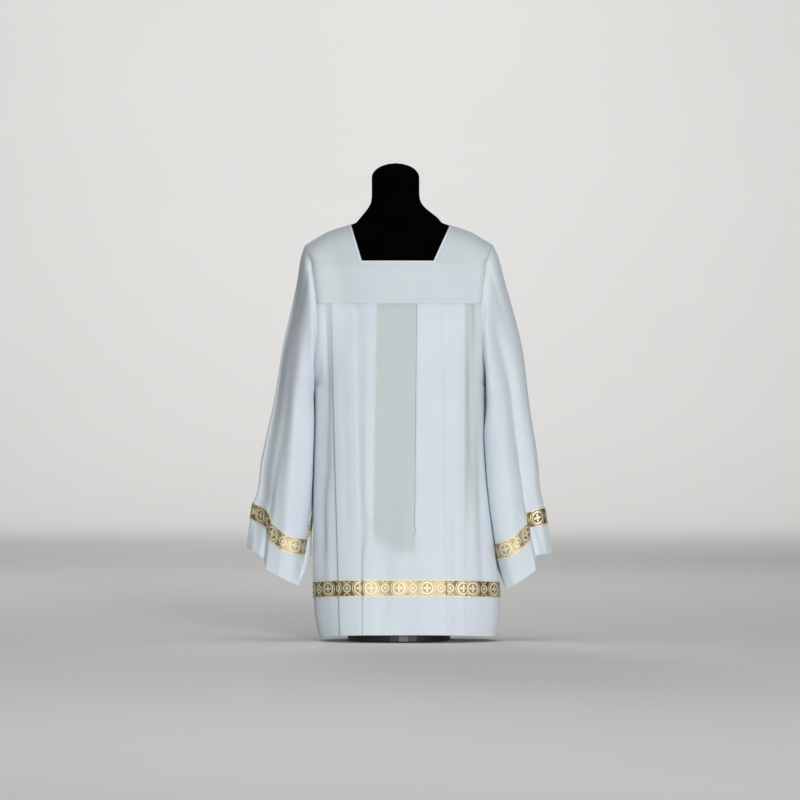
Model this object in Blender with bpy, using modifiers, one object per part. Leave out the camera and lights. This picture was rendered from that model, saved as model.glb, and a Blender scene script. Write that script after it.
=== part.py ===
"""A white surplice with a square neck, front and back pleats, wide sleeves and gold braid,
worn by a limbless dress form that stands on a round base.

Metres, +Z up. The front faces -Y, and the garment's left in a front view is at -X.
The origin is the centre of the base's underside.
"""
import math

import bmesh
import bpy
import numpy as np

# Thicknesses and clearances
CLOTH = 0.0010            # a single layer of cloth, as a solid wall
BRAID = 0.0010            # woven braid
SEAM = 0.0003             # gap between pieces that are sewn together
ARM_SEAM = 0.0007         # the same across the slanted edge of an armhole
BRAID_GAP = 0.0004        # between the braid and the panel under it
REST = 0.0006             # gap between the shoulders and the form under them
SLEEVE_CLEAR = 0.0022     # least distance of a hanging sleeve from the body's side

# Heights of the garment
HEM_Z = 0.008
HEM_RISE = 0.010          # the hem hangs this much higher in front and behind than at the sides
RISE_FROM_Z, RISE_FULL_Z = 0.24, 0.15
BRAID_Z = (0.1345, 0.0965)  # upper and lower edge of the braid
UNDERARM_Z = 0.581
PLEAT_TOP_Z = 0.776       # seam between the pleated skirt and the chest band
YOKE_SEAM_Z = 0.864       # seam between the chest band and the shoulder pieces
BINDING = 0.0065          # width of the finished edge round the neck
BINDING_POINTS = 15       # points along each side edge of the neck
YOKE_ROUND = 2.2          # roundness of the shoulder's arch from front to back

# Neck edge of each shoulder piece: distance from the middle in front and on the shoulder
NECK_EDGE = {"left": (-0.0895, -0.1175), "right": (0.0825, 0.1240)}
# Armhole edge of each shoulder piece, the same way
ARM_EDGE = {"left": (-0.200, -0.2165), "right": (0.200, 0.2165)}
SIDE_SIGN = {"left": -1.0, "right": 1.0}

# Height of the shoulder line by distance from the middle
SHOULDER_LINE = {
    "x": (0.095, 0.104, 0.111, 0.125, 0.145, 0.165, 0.186, 0.200, 0.2165),
    "z": (0.9645, 0.9605, 0.9580, 0.9530, 0.9470, 0.9395, 0.9275, 0.9190, 0.9095),
}

# The body of the garment: where its sides are, how far it stands out, how square it is
BODY = {
    "z": (0.008, 0.045, 0.100, 0.200, 0.420, 0.540, 0.581, 0.700, 0.776, 0.864),
    "left": (-0.177, -0.1865, -0.1915, -0.194, -0.1955, -0.1965, -0.1990, -0.204, -0.206, -0.207),
    "right": (0.2195, 0.2250, 0.2275, 0.2175, 0.1985, 0.1970, 0.1990, 0.204, 0.206, 0.207),
    "depth": (0.1335, 0.134, 0.1335, 0.132, 0.130, 0.129, 0.1285, 0.127, 0.124, 0.116),
}
BODY_SQUARE = 2.6
ARM_FIT_FROM = 0.45       # from this share of the way to its edge the cloth bends to the armhole

# The armhole's front edge below the shoulder piece; the back edge mirrors it
ARMHOLE = {
    "z": (0.581, 0.600, 0.630, 0.680, 0.720, 0.776, 0.820, 0.864),
    "x": (0.1990, 0.1972, 0.1935, 0.1885, 0.1875, 0.1900, 0.1945, 0.2000),
    "y": (0.0002, 0.034, 0.060, 0.084, 0.094, 0.097, 0.092, 0.080),
}

# Pleats of the front, left to right: place at the top and the hem, the side that lies on top,
# how far the cloth is tucked under, and whether the fold opens out above the hem
# Columns: top_x, hem_x, upper_side, tuck, opens
PLEATS = (
    (-0.1540, -0.1330, "right", 0.016, False),
    (-0.1035, -0.0875, "left", 0.016, False),
    (-0.0506, -0.0620, "left", 0.018, True),
    (0.0414, 0.0345, "right", 0.018, True),
    (0.0966, 0.1080, "left", 0.016, False),
    (0.1518, 0.1495, "left", 0.014, False),
)
# The spacing of the three layers of a pleat: outer to middle, and middle to inner
OUTER_PITCH = (0.0015, 0.0018)      # at the top seam, from mid skirt down
INNER_PITCH = (0.0017, 0.0050)
PITCH_FULL_Z = 0.50                 # height below which the pitch is full
OPEN_FROM_Z, OPEN_BY_Z = 0.33, 0.17  # the two middle folds open between these heights
OPEN_WIDTH = 0.036                  # length of the slope that an opened fold leaves
OPEN_ROUNDING = (0.010, 0.036)      # over this much of the slope its bends grow round
PLEAT_MARGIN = 0.003
TURN_POINTS = 4                     # points round each fold
SIDE_POINTS = 5
SIDE_WAVE = 0.007                   # height of the soft folds beside the pleats at the hem
ARMHOLE_ROWS = (0.7757, 0.725, 0.675, 0.630, 0.600, 0.581)
LOWER_ROWS = (0.440, 0.300, 0.268, 0.262, 0.246, 0.180, 0.1350, 0.0960, HEM_Z)
BAND_ROWS = 4
BAND_COLUMNS = 26
YOKE_ROWS = 15
YOKE_COLUMNS = 8
CURVE_POINTS = 241                  # points of the outline that lengths are measured on
FOLD_START = 0.4                    # share of a side run from which it rises to the pleat's level

# Outlines of the sleeves in the front view: outer line from the shoulder tip to the cuff
SLEEVE_OUTER = {
    "left": {"x": (-0.2165, -0.2325, -0.2450, -0.2655, -0.2875,
                   -0.3170, -0.3260, -0.3370, -0.3420, -0.3510),
             "z": (0.9095, 0.8780, 0.7990, 0.6890, 0.5510,
                   0.4130, 0.3440, 0.3120, 0.2810, 0.2130)},
    "right": {"x": (0.2165, 0.2375, 0.2600, 0.2820, 0.2990, 0.3197, 0.3260, 0.3355, 0.3416, 0.3530),
              "z": (0.9095, 0.8780, 0.7990, 0.6890, 0.5510, 0.4130, 0.3440, 0.3035, 0.2651, 0.2005)},
}
# Inner line from the underarm to the cuff
SLEEVE_INNER = {
    "left": {"x": (-0.2002, -0.2012, -0.2012, -0.2010, -0.2020),
             "z": (0.5805, 0.500, 0.400, 0.300, 0.196)},
    "right": {"x": (0.2002, 0.2025, 0.2060, 0.2125, 0.2340),
              "z": (0.5805, 0.500, 0.400, 0.300, 0.172)},
}
# Half depth of a sleeve, the fold down its front, and how far it wraps round the body's side
SLEEVE_SHAPE = {
    "along": (0.0, 0.15, 0.35, 0.60, 0.85, 1.0),
    "depth": (0.097, 0.088, 0.076, 0.066, 0.061, 0.060),
    "fold": (0.0, 0.006, 0.015, 0.019, 0.010, 0.0),
    "wrap": (0.0, 0.005, 0.015, 0.015, 0.010, 0.0),
}
# The folded form of the cuff's front edge, by degrees round it from the outer line
CUFF = {
    "left": {
        "turn": (0.0, 25.0, 46.0, 57.0, 72.0, 98.0, 124.0, 146.0, 162.0, 180.0),
        "x": (-0.3510, -0.3380, -0.3200, -0.3105, -0.3055, -0.2760, -0.2490, -0.2290, -0.2160, -0.2020),
        "y": (0.0, -0.022, -0.034, -0.035, -0.052, -0.062, -0.060, -0.047, -0.028, 0.0),
        "z": (0.2130, 0.2065, 0.1985, 0.1880, 0.1660, 0.1500, 0.1360, 0.1270, 0.1590, 0.1960),
    },
    "right": {
        "turn": (0.0, 25.0, 48.0, 60.0, 74.0, 98.0, 124.0, 146.0, 162.0, 180.0),
        "x": (0.3530, 0.3400, 0.3240, 0.3135, 0.3140, 0.2880, 0.2640, 0.2450, 0.2390, 0.2340),
        "y": (0.0, -0.022, -0.034, -0.035, -0.053, -0.064, -0.062, -0.049, -0.028, 0.0),
        "z": (0.2005, 0.2000, 0.1995, 0.1960, 0.1640, 0.1450, 0.1300, 0.1185, 0.1400, 0.1720),
    },
}
CUFF_FOLD_FROM = 0.34               # share of the length from which the cuff's form grows
WRAP_PLACE, WRAP_SPREAD = 138.0, 26.0   # degrees round the sleeve
FOLD_PLACE = {"left": (44.0, 50.0, 58.0, 62.0, 62.0, 60.0),
              "right": (74.0, 74.0, 72.0, 68.0, 66.0, 66.0)}
FOLD_SPREAD = 22.0                  # degrees round the sleeve
BACK_FOLD = 0.6                     # the fold behind, as a share of the one in front
CUFF_BRAID_LOW = 0.068              # distance of the braid from the cuff's edge
CUFF_BRAID_HIGH = 0.107
CUFF_DISTANCES = (CUFF_BRAID_HIGH, CUFF_BRAID_LOW, 0.0)
HANG_BY = 0.38                      # share of its length by which a sleeve has left the armhole's form
SLEEVE_SHARES = (0.0, 0.10, 0.22, 0.38, 0.56, 0.76)

# The dress form: half width and half depth by height
TORSO = {
    "z": (0.215, 0.224, 0.300, 0.400, 0.520, 0.640, 0.740, 0.810, 0.860, 0.892, 0.912, 0.922),
    "width": (0.148, 0.158, 0.172, 0.162, 0.145, 0.155, 0.168, 0.176, 0.184, 0.188, 0.1865, 0.1820),
    "depth": (0.096, 0.105, 0.114, 0.104, 0.094, 0.101, 0.108, 0.107, 0.101, 0.093, 0.085, 0.080),
}
SHOULDER_STATIONS = (0.165, 0.150, 0.135, 0.120, 0.110, 0.099)
SHOULDER_SLANT = 1.08               # a gap across the sloping shoulder, measured straight down
SHOULDER_DEPTHS = (0.066, 0.061, 0.058, 0.0565, 0.0557, 0.0555)
NECK = {
    "z": (0.970, 0.982, 0.9945, 1.0085, 1.030, 1.0637, 1.079, 1.090, 1.096),
    "width": (0.0910, 0.0790, 0.0665, 0.0575, 0.0547, 0.0547, 0.0490, 0.0350, 0.0170),
    "lean": (0.0, -0.002, -0.005, -0.007, -0.008, -0.008, -0.008, -0.008, -0.008),
}
NECK_TOP_Z = 1.098
TORSO_SQUARE = 2.25
SHOULDER_SQUARE = 2.0               # the form's sections are ellipses from the shoulders up
FORM_POINTS = 24
POST_RADIUS = 0.020
BASE_RADIUS = 0.118
BASE_HEIGHT = 0.018
BASE_EDGE = 0.003
BASE_SIDES, POST_SIDES = 36, 24
SHARP_DEGREES = 40        # edges that bend more than this are drawn sharp

WHITE = (0.80, 0.83, 0.86, 1.0)
GOLD = (0.62, 0.48, 0.22, 1.0)
BLACK = (0.012, 0.012, 0.013, 1.0)
# Roughness and metallic of the three materials
CLOTH_FINISH, BRAID_FINISH, FORM_FINISH = (0.75, 0.0), (0.42, 0.6), (0.9, 0.0)


def clear_scene():
    """Removes what a new file holds."""
    for item in list(bpy.data.objects):
        bpy.data.objects.remove(item, do_unlink=True)


def make_material(name, colour, roughness, metallic):
    """A plain Principled material."""
    material = bpy.data.materials.new(name)
    material.use_nodes = True
    shader = material.node_tree.nodes["Principled BSDF"]
    shader.inputs["Base Color"].default_value = colour
    shader.inputs["Roughness"].default_value = roughness
    shader.inputs["Metallic"].default_value = metallic
    return material


def smooth_step(value, low, high):
    """Goes softly from 0 at low to 1 at high, which may be the lower number."""
    share = np.clip((value - low) / (high - low), 0.0, 1.0)
    return share * share * (3.0 - 2.0 * share)


def curve_through(places, values, place):
    """A smooth curve through a table's values, without overshoot (Fritsch and Carlson)."""
    places = np.asarray(places, float)
    values = np.asarray(values, float)
    if places[0] > places[-1]:
        places, values = places[::-1], values[::-1]
    steps = np.diff(places)
    slopes = np.diff(values) / steps
    tangents = np.concatenate(([slopes[0]], (slopes[1:] + slopes[:-1]) / 2.0, [slopes[-1]]))
    turning = slopes[1:] * slopes[:-1] <= 0.0
    tangents[1:-1][turning] = 0.0
    limit = 3.0 * np.minimum(np.abs(slopes[1:]), np.abs(slopes[:-1]))
    tangents[1:-1] = np.clip(tangents[1:-1], -limit, limit)
    place = np.clip(place, places[0], places[-1])
    index = np.clip(np.searchsorted(places, place) - 1, 0, len(steps) - 1)
    share = (place - places[index]) / steps[index]
    start = (1 + 2 * share) * (1 - share) ** 2 * values[index]
    start_slope = share * (1 - share) ** 2 * steps[index] * tangents[index]
    end = share ** 2 * (3 - 2 * share) * values[index + 1]
    end_slope = share ** 2 * (share - 1) * steps[index] * tangents[index + 1]
    return start + start_slope + end + end_slope


def shoulder_height(distance):
    """Height of the shoulder line at a distance from the middle."""
    return curve_through(SHOULDER_LINE["x"], SHOULDER_LINE["z"], abs(distance))


class BodyCurve:
    """The garment's outline at one height, from its left edge round the front or the back."""

    def __init__(self, z, face):
        left = curve_through(BODY["z"], BODY["left"], z)
        right = curve_through(BODY["z"], BODY["right"], z)
        depth = curve_through(BODY["z"], BODY["depth"], z)
        centre, half = (left + right) / 2.0, (right - left) / 2.0
        reach = math.pi / 2
        edge_y = SEAM / 2
        if z > UNDERARM_Z:
            edge_x = curve_through(ARMHOLE["z"], ARMHOLE["x"], z)
            edge_y = curve_through(ARMHOLE["z"], ARMHOLE["y"], z)
            reach = math.asin(min(1.0, (edge_x / half) ** (BODY_SQUARE / 2)))
        share = np.linspace(-1.0, 1.0, CURVE_POINTS)
        turn = share * reach
        power = 2.0 / BODY_SQUARE
        x = centre + half * np.sign(share) * np.abs(np.sin(turn)) ** power
        y = depth * np.abs(np.cos(turn)) ** power
        y += (edge_y - y[0]) * smooth_step(np.abs(share), ARM_FIT_FROM, 1.0)
        self.face = face
        self.points = np.stack([x, face * y], axis=1)
        steps = np.linalg.norm(np.diff(self.points, axis=0), axis=1)
        self.length = np.concatenate(([0.0], np.cumsum(steps)))
        tangent = np.gradient(self.points, self.length, axis=0)
        tangent /= np.linalg.norm(tangent, axis=1)[:, None]
        self.normal = np.stack([-face * tangent[:, 1], face * tangent[:, 0]], axis=1)

    def length_at(self, x):
        """Distance along the curve of the point at x."""
        return float(np.interp(x, self.points[:, 0], self.length))

    def place(self, length, out):
        """The points at distances along the curve and out from it."""
        length = np.asarray(length)
        out = np.asarray(out)
        x = np.interp(length, self.length, self.points[:, 0])
        y = np.interp(length, self.length, self.points[:, 1])
        normal_x = np.interp(length, self.length, self.normal[:, 0])
        normal_y = np.interp(length, self.length, self.normal[:, 1])
        return x + out * normal_x, y + out * normal_y


def arc(centre, radius, start, end):
    """Points round one bend of a pleat, as distances along and out; angles in radians."""
    angles = np.linspace(start, end, TURN_POINTS)
    return [(centre[0] + radius * math.cos(a), centre[1] + radius * math.sin(a)) for a in angles]


def pleat_points(place, tuck, upper_side, outer, inner):
    """One pleat as a path from left to right: its upper layer, the way back under it and the
    lower layer. A negative tuck is a pleat that has opened out to a slope of that length."""
    slope = max(-tuck, 0.0)
    rounding = 0.5 * slope * smooth_step(slope, *OPEN_ROUNDING)
    upper_radius = outer / 2 + rounding
    lower_radius = inner / 2 + rounding
    upper = np.array([place - slope / 2, outer - upper_radius])
    lower = np.array([upper[0] - tuck, lower_radius - inner])
    step = lower - upper
    reach = (upper_radius + lower_radius) / math.hypot(*step)
    leave = math.atan2(step[1], step[0]) + math.acos(min(1.0, reach))
    points = arc(upper, upper_radius, math.pi / 2, leave)
    points += arc(lower, lower_radius, leave + math.pi, math.pi * 1.5)
    start = min(upper[0] - PLEAT_MARGIN, lower[0])
    end = max(lower[0], upper[0] + outer) + PLEAT_MARGIN
    points = [(start, outer)] + points + [(end, -inner)]
    if upper_side == "right":
        points = [(2 * place - length, out) for length, out in reversed(points)]
    return points


def panel_path(curve, z, mirrored):
    """The pleated cloth at one height, as distances along and out, from left to right."""
    down = (PLEAT_TOP_Z - z) / (PLEAT_TOP_Z - HEM_Z)
    full = smooth_step(z, PLEAT_TOP_Z, PITCH_FULL_Z)
    outer = OUTER_PITCH[0] + (OUTER_PITCH[1] - OUTER_PITCH[0]) * full
    inner = INNER_PITCH[0] + (INNER_PITCH[1] - INNER_PITCH[0]) * full
    pleats = PLEATS
    if mirrored:
        swap = {"left": "right", "right": "left"}
        pleats = [(-p[0], -p[1], swap[p[2]], p[3], p[4]) for p in reversed(PLEATS)]
    runs = []
    for top_x, hem_x, upper_side, tuck, opens in pleats:
        place = curve.length_at(top_x + (hem_x - top_x) * down)
        if opens:
            tuck -= (tuck + OPEN_WIDTH) * smooth_step(z, OPEN_FROM_Z, OPEN_BY_Z)
        runs.append(pleat_points(place, tuck, upper_side, outer, inner))
    wave = SIDE_WAVE * smooth_step(z, UNDERARM_Z, HEM_Z)
    path = side_run(0.0, runs[0][0], wave)
    for run, following in zip(runs, runs[1:] + [None]):
        path += run
        if following:
            path += between(run[-1], following[0])
    path += side_run(curve.length[-1], runs[-1][-1], wave)[::-1]
    return np.array(path)


def side_run(edge, pleat_end, wave):
    """Cloth from a side edge to the first pleat, with two soft folds."""
    run = []
    for share in np.linspace(0.0, 1.0, SIDE_POINTS, endpoint=False):
        out = pleat_end[1] * smooth_step(share, FOLD_START, 1.0)
        out += wave * math.sin(share * math.tau) * (1.0 - share)
        run.append((edge + (pleat_end[0] - edge) * share, out))
    return run


def between(start, end):
    """Two points that carry the cloth from one pleat's level to the next one's."""
    shares = (1 / 3, 2 / 3)
    return [(start[0] + (end[0] - start[0]) * s,
             start[1] + (end[1] - start[1]) * smooth_step(s, 0.0, 1.0)) for s in shares]


def offset_path(path, distance):
    """The path moved to its left side by a distance, with mitred corners."""
    steps = np.diff(path, axis=0)
    steps /= np.linalg.norm(steps, axis=1)[:, None]
    before = np.concatenate((steps[:1], steps))
    after = np.concatenate((steps, steps[-1:]))
    normal_before = np.stack([-before[:, 1], before[:, 0]], axis=1)
    normal_after = np.stack([-after[:, 1], after[:, 0]], axis=1)
    joined = normal_before + normal_after
    joined /= np.einsum("ij,ij->i", joined, normal_before)[:, None]
    return path + distance * joined


def panel_layer(heights, face, distance):
    """Rows of points of the pleated cloth, moved out from its middle by a distance."""
    rows = []
    for z in heights:
        curve = BodyCurve(z, face)
        path = offset_path(panel_path(curve, z, face > 0), distance)
        x, y = curve.place(path[:, 0], path[:, 1])
        rise = HEM_RISE * smooth_step(z, RISE_FROM_Z, RISE_FULL_Z)
        rows.append(np.stack([x, y, z + rise * np.abs(y) / np.abs(y).max()], axis=1))
    return np.array(rows)


def band_layer(face, distance):
    """Rows of points of the smooth band above the pleats."""
    rows = []
    heights = np.linspace(PLEAT_TOP_Z, YOKE_SEAM_Z - SEAM, BAND_ROWS)
    for z in heights:
        curve = BodyCurve(z, face)
        lengths = np.linspace(0.0, curve.length[-1], BAND_COLUMNS)
        x, y = curve.place(lengths, np.full(BAND_COLUMNS, distance))
        rows.append(np.stack([x, y, np.full_like(x, z)], axis=1))
    return np.array(rows)


def yoke_point(side, across, turn, inset=0.0):
    """A point of a shoulder piece: across from neck to armhole, turn from front to back."""
    seam = BodyCurve(YOKE_SEAM_Z, -1.0)
    power = 2.0 / YOKE_ROUND
    rise = max(math.sin(turn), 0.0) ** power
    neck_front, neck_top = NECK_EDGE[side]
    arm_front, arm_top = ARM_EDGE[side]
    front_x = neck_front + (arm_front - neck_front) * across + SIDE_SIGN[side] * inset
    top_x = neck_top + (arm_top - neck_top) * across + SIDE_SIGN[side] * inset
    front_y = -np.interp(front_x, seam.points[:, 0], seam.points[:, 1])
    x = front_x + (top_x - front_x) * rise
    y = -front_y * math.copysign(abs(math.cos(turn)) ** power, math.cos(turn))
    return (x, y, YOKE_SEAM_Z + (shoulder_height(top_x) - YOKE_SEAM_Z) * rise)


def yoke_layer(side):
    """Rows of points of a shoulder piece's outer surface."""
    turns = np.linspace(0.0, math.pi, YOKE_ROWS)
    shares = np.linspace(0.0, 1.0, YOKE_COLUMNS)
    return np.array([[yoke_point(side, share, turn) for share in shares] for turn in turns])


def armhole_loop(side):
    """The armhole as a closed ring of points, with the turn of each from the shoulder tip:
    shoulder tip, front, underarm, back. It has a point at every row of the pieces it meets."""
    sign = SIDE_SIGN[side]
    half_turns = np.linspace(math.pi / 2, 0.0, YOKE_ROWS // 2 + 1)
    front = [yoke_point(side, 1.0, turn) for turn in half_turns]
    heights = np.linspace(YOKE_SEAM_Z, PLEAT_TOP_Z, BAND_ROWS)[1:-1]
    for z in (*heights, *ARMHOLE_ROWS):
        x = curve_through(ARMHOLE["z"], ARMHOLE["x"], z)
        front.append((sign * x, -curve_through(ARMHOLE["z"], ARMHOLE["y"], z), z))
    front = np.array(front)
    front[0, 1] = 0.0
    front[-1, 1] = 0.0
    steps = np.linalg.norm(np.diff(front, axis=0), axis=1)
    half = np.concatenate(([0.0], np.cumsum(steps))) / steps.sum() * math.pi
    loop = np.concatenate((front, front[-2:0:-1] * (1.0, -1.0, 1.0)))
    turns = np.concatenate((half, math.tau - half[-2:0:-1]))
    inward = loop.mean(axis=0) - loop
    inward[:, 0] = 0.0
    inward /= np.linalg.norm(inward, axis=1)[:, None]
    loop += inward * ARM_SEAM
    loop[:, 0] += sign * ARM_SEAM
    return loop, turns


def line_point(table, along):
    """A point of one of the sleeve's outlines, by its share of the outline's height."""
    z = table["z"][0] + (table["z"][-1] - table["z"][0]) * along
    return np.array([curve_through(table["z"], table["x"], z), 0.0, z])


def plain_ring(outer, inner, along, angle):
    """A point of a sleeve's section without its folds."""
    depth = curve_through(SLEEVE_SHAPE["along"], SLEEVE_SHAPE["depth"], along)
    ring = (outer + inner) / 2 + (outer - inner) / 2 * math.cos(angle)
    return ring - np.array([0.0, depth, 0.0]) * math.sin(angle)


def cuff_point(side, angle):
    """A point of the cuff's edge; behind, it has the same folds as in front."""
    degrees = math.degrees(angle)
    behind = degrees > 180.0
    table = CUFF[side]
    turn = 360.0 - degrees if behind else degrees
    x, y, z = (float(np.interp(turn, table["turn"], table[axis])) for axis in "xyz")
    return np.array([x, -y if behind else y, z])


def sleeve_wrap(along, degrees):
    """How far a sleeve reaches round the body's side, in front and behind."""
    reach = curve_through(SLEEVE_SHAPE["along"], SLEEVE_SHAPE["wrap"], along)
    front = math.exp(-((degrees - WRAP_PLACE) / WRAP_SPREAD) ** 2)
    back = math.exp(-((360.0 - degrees - WRAP_PLACE) / WRAP_SPREAD) ** 2)
    return reach * (front + back)


def sleeve_point(side, loop, turns, column, along):
    """A point of the sleeve: column round it from the outer line, along from the armhole."""
    outer = line_point(SLEEVE_OUTER[side], along)
    inner = line_point(SLEEVE_INNER[side], along)
    middle = (outer + inner) / 2
    angle = turns[column]
    ring = plain_ring(outer, inner, along, angle)
    end_ring = plain_ring(line_point(SLEEVE_OUTER[side], 1.0), line_point(SLEEVE_INNER[side], 1.0),
                          1.0, angle)
    folded = cuff_point(side, angle) - end_ring
    ring = ring + folded * smooth_step(along, CUFF_FOLD_FROM, 1.0)
    start_middle = (loop[0] + loop[len(loop) // 2]) / 2
    hung = loop[column] - start_middle + middle
    share = smooth_step(along, 0.0, HANG_BY)
    point = hung + (ring - hung) * share
    point = point + sleeve_fold(side, along, math.degrees(angle)) * (middle - point)
    point[0] -= SIDE_SIGN[side] * sleeve_wrap(along, math.degrees(angle))
    return clear_of_body(side, point)


def clear_of_body(side, point):
    """The point, moved out where it would touch the body's side under the armhole."""
    x, y, z = point
    if z >= UNDERARM_Z:
        return point
    sign = SIDE_SIGN[side]
    body = BodyCurve(z, 1.0).points
    edge = body[body[:, 0] * sign > abs(body[:, 0]).max() / 2]
    order = np.argsort(edge[:, 1])
    least = np.interp(abs(y), edge[order, 1], edge[order, 0] * sign) + SLEEVE_CLEAR
    least += SIDE_WAVE * smooth_step(z, UNDERARM_Z, HEM_Z)
    return np.array([sign * max(x * sign, least), y, z])


def sleeve_fold(side, along, degrees):
    """How far the long folds of a sleeve draw its wall to the middle, as a share."""
    place = curve_through(SLEEVE_SHAPE["along"], FOLD_PLACE[side], along)
    depth = curve_through(SLEEVE_SHAPE["along"], SLEEVE_SHAPE["fold"], along)
    width = curve_through(SLEEVE_SHAPE["along"], SLEEVE_SHAPE["depth"], along)
    front = math.exp(-((degrees - place) / FOLD_SPREAD) ** 2)
    back = math.exp(-((360.0 - degrees - place) / FOLD_SPREAD) ** 2)
    return depth / width * (front + BACK_FOLD * back)


def sleeve_layer(side, cuff_distances, shares):
    """Rows of points of a sleeve, from the armhole or from a distance above the cuff."""
    loop, turns = armhole_loop(side)
    columns = range(len(loop))
    starts = np.array([sleeve_point(side, loop, turns, c, 0.0) for c in columns])
    ends = np.array([sleeve_point(side, loop, turns, c, 1.0) for c in columns])
    lengths = np.linalg.norm(ends - starts, axis=1)
    alongs = [share * (1 - cuff_distances[0] / lengths) for share in shares]
    alongs += [1 - distance / lengths for distance in cuff_distances]
    return np.array([[sleeve_point(side, loop, turns, c, along[c]) for c in columns]
                     for along in alongs])


def grid_normals(grid, closed):
    """Unit normals of a grid of points."""
    down = np.gradient(grid, axis=0)
    if closed:
        along = np.roll(grid, -1, axis=1) - np.roll(grid, 1, axis=1)
    else:
        along = np.gradient(grid, axis=1)
    normals = np.cross(along, down)
    return normals / np.linalg.norm(normals, axis=2)[:, :, None]


def sheet_mesh(name, outer, inner, closed):
    """A wall between two grids of points; closed ones join their last column to the first."""
    rows, columns = outer.shape[:2]
    mesh = bpy.data.meshes.new(name)
    work = bmesh.new()
    sides = [[[work.verts.new(p) for p in row] for row in grid] for grid in (outer, inner)]
    spans = columns if closed else columns - 1
    for grid in sides:
        for r in range(rows - 1):
            for c in range(spans):
                d = (c + 1) % columns
                work.faces.new((grid[r][c], grid[r][d], grid[r + 1][d], grid[r + 1][c]))
    for r in (0, rows - 1):
        for c in range(spans):
            d = (c + 1) % columns
            work.faces.new((sides[0][r][c], sides[0][r][d], sides[1][r][d], sides[1][r][c]))
    if not closed:
        for c in (0, columns - 1):
            for r in range(rows - 1):
                work.faces.new((sides[0][r][c], sides[0][r + 1][c],
                                sides[1][r + 1][c], sides[1][r][c]))
    bmesh.ops.recalc_face_normals(work, faces=work.faces)
    work.to_mesh(mesh)
    work.free()
    mesh.shade_smooth()
    return mesh


def add_piece(name, mesh, material, collection):
    """An object of its own for one piece."""
    mesh.materials.append(material)
    piece = bpy.data.objects.new(name, mesh)
    collection.objects.link(piece)


def build_panels(collection, white, gold):
    """Front and back: pleated skirt, band above it, and braid above the hem."""
    braid_in = CLOTH / 2 + BRAID_GAP
    for label, face in (("front", -1.0), ("back", 1.0)):
        rows = ARMHOLE_ROWS + LOWER_ROWS
        outer = panel_layer(rows, face, CLOTH / 2)
        inner = panel_layer(rows, face, -CLOTH / 2)
        add_piece(label + "_panel", sheet_mesh(label, outer, inner, False), white, collection)
        outer = panel_layer(BRAID_Z, face, braid_in + BRAID)
        inner = panel_layer(BRAID_Z, face, braid_in)
        add_piece("hem_braid_" + label, sheet_mesh(label, outer, inner, False), gold, collection)
        name = "chest_band" if face < 0 else "back_band"
        outer = band_layer(face, CLOTH / 2)
        inner = band_layer(face, -CLOTH / 2)
        add_piece(name, sheet_mesh(name, outer, inner, False), white, collection)


def build_shoulders(collection, white):
    """The two shoulder pieces, which rest on the form."""
    for side, sign in SIDE_SIGN.items():
        outer = yoke_layer(side)
        inner = outer - grid_normals(outer, False) * CLOTH * sign
        name = "shoulder_" + side
        add_piece(name, sheet_mesh(name, outer, inner, False), white, collection)


def build_binding(collection, white):
    """The narrow finished edge round the square neck, mitred at its corners."""
    power = YOKE_ROUND / 2.0
    height = shoulder_height(abs(NECK_EDGE["left"][1])) - YOKE_SEAM_Z
    corner = math.asin(min(1.0, (BINDING / height) ** power))
    seam_turns = np.linspace(0.0, math.pi, BINDING_POINTS)
    free_turns = np.linspace(corner, math.pi - corner, BINDING_POINTS)
    seam_edge = [yoke_point("left", 0.0, t, -SEAM) for t in seam_turns]
    free_edge = [yoke_point("left", 0.0, t, -BINDING) for t in free_turns]
    seam_edge = [(x, y, max(z, YOKE_SEAM_Z + SEAM)) for x, y, z in seam_edge]
    right_seam = [yoke_point("right", 0.0, t, -SEAM) for t in seam_turns[::-1]]
    right_free = [yoke_point("right", 0.0, t, -BINDING) for t in free_turns[::-1]]
    right_seam = [(x, y, max(z, YOKE_SEAM_Z + SEAM)) for x, y, z in right_seam]
    curve = BodyCurve(YOKE_SEAM_Z, 1.0)

    def straight(start, end):
        steps = []
        for share in (0.2, 0.4, 0.6, 0.8):
            x, y, z = (a + (b - a) * share for a, b in zip(start, end))
            edge_y = np.interp(start[0], curve.points[:, 0], curve.points[:, 1])
            here_y = np.interp(x, curve.points[:, 0], curve.points[:, 1])
            steps.append((x, y * here_y / edge_y, z))
        return steps

    seam_edge += straight(seam_edge[-1], right_seam[0]) + right_seam
    seam_edge += straight(seam_edge[-1], seam_edge[0])
    free_edge += straight(free_edge[-1], right_free[0]) + right_free
    free_edge += straight(free_edge[-1], free_edge[0])
    outer = np.array([seam_edge, free_edge])
    inner = outer + grid_normals(outer, True) * CLOTH
    add_piece("neck_binding", sheet_mesh("neck_binding", outer, inner, True), white, collection)


def build_sleeves(collection, white, gold):
    """The wide sleeves, open at the armhole and the cuff, and the braid round their cuffs."""
    for side, sign in SIDE_SIGN.items():
        name = "sleeve_" + side
        outer = sleeve_layer(side, CUFF_DISTANCES, SLEEVE_SHARES)
        inner = outer - grid_normals(outer, True) * CLOTH * sign
        add_piece(name, sheet_mesh(name, outer, inner, True), white, collection)
        braid = sleeve_layer(side, (CUFF_BRAID_HIGH, CUFF_BRAID_LOW), ())
        normals = grid_normals(outer, True)[len(SLEEVE_SHARES):len(SLEEVE_SHARES) + 2]
        near = braid + normals * BRAID_GAP * sign
        far = braid + normals * (BRAID_GAP + BRAID) * sign
        name = "sleeve_braid_" + side
        add_piece(name, sheet_mesh(name, far, near, True), gold, collection)


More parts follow.
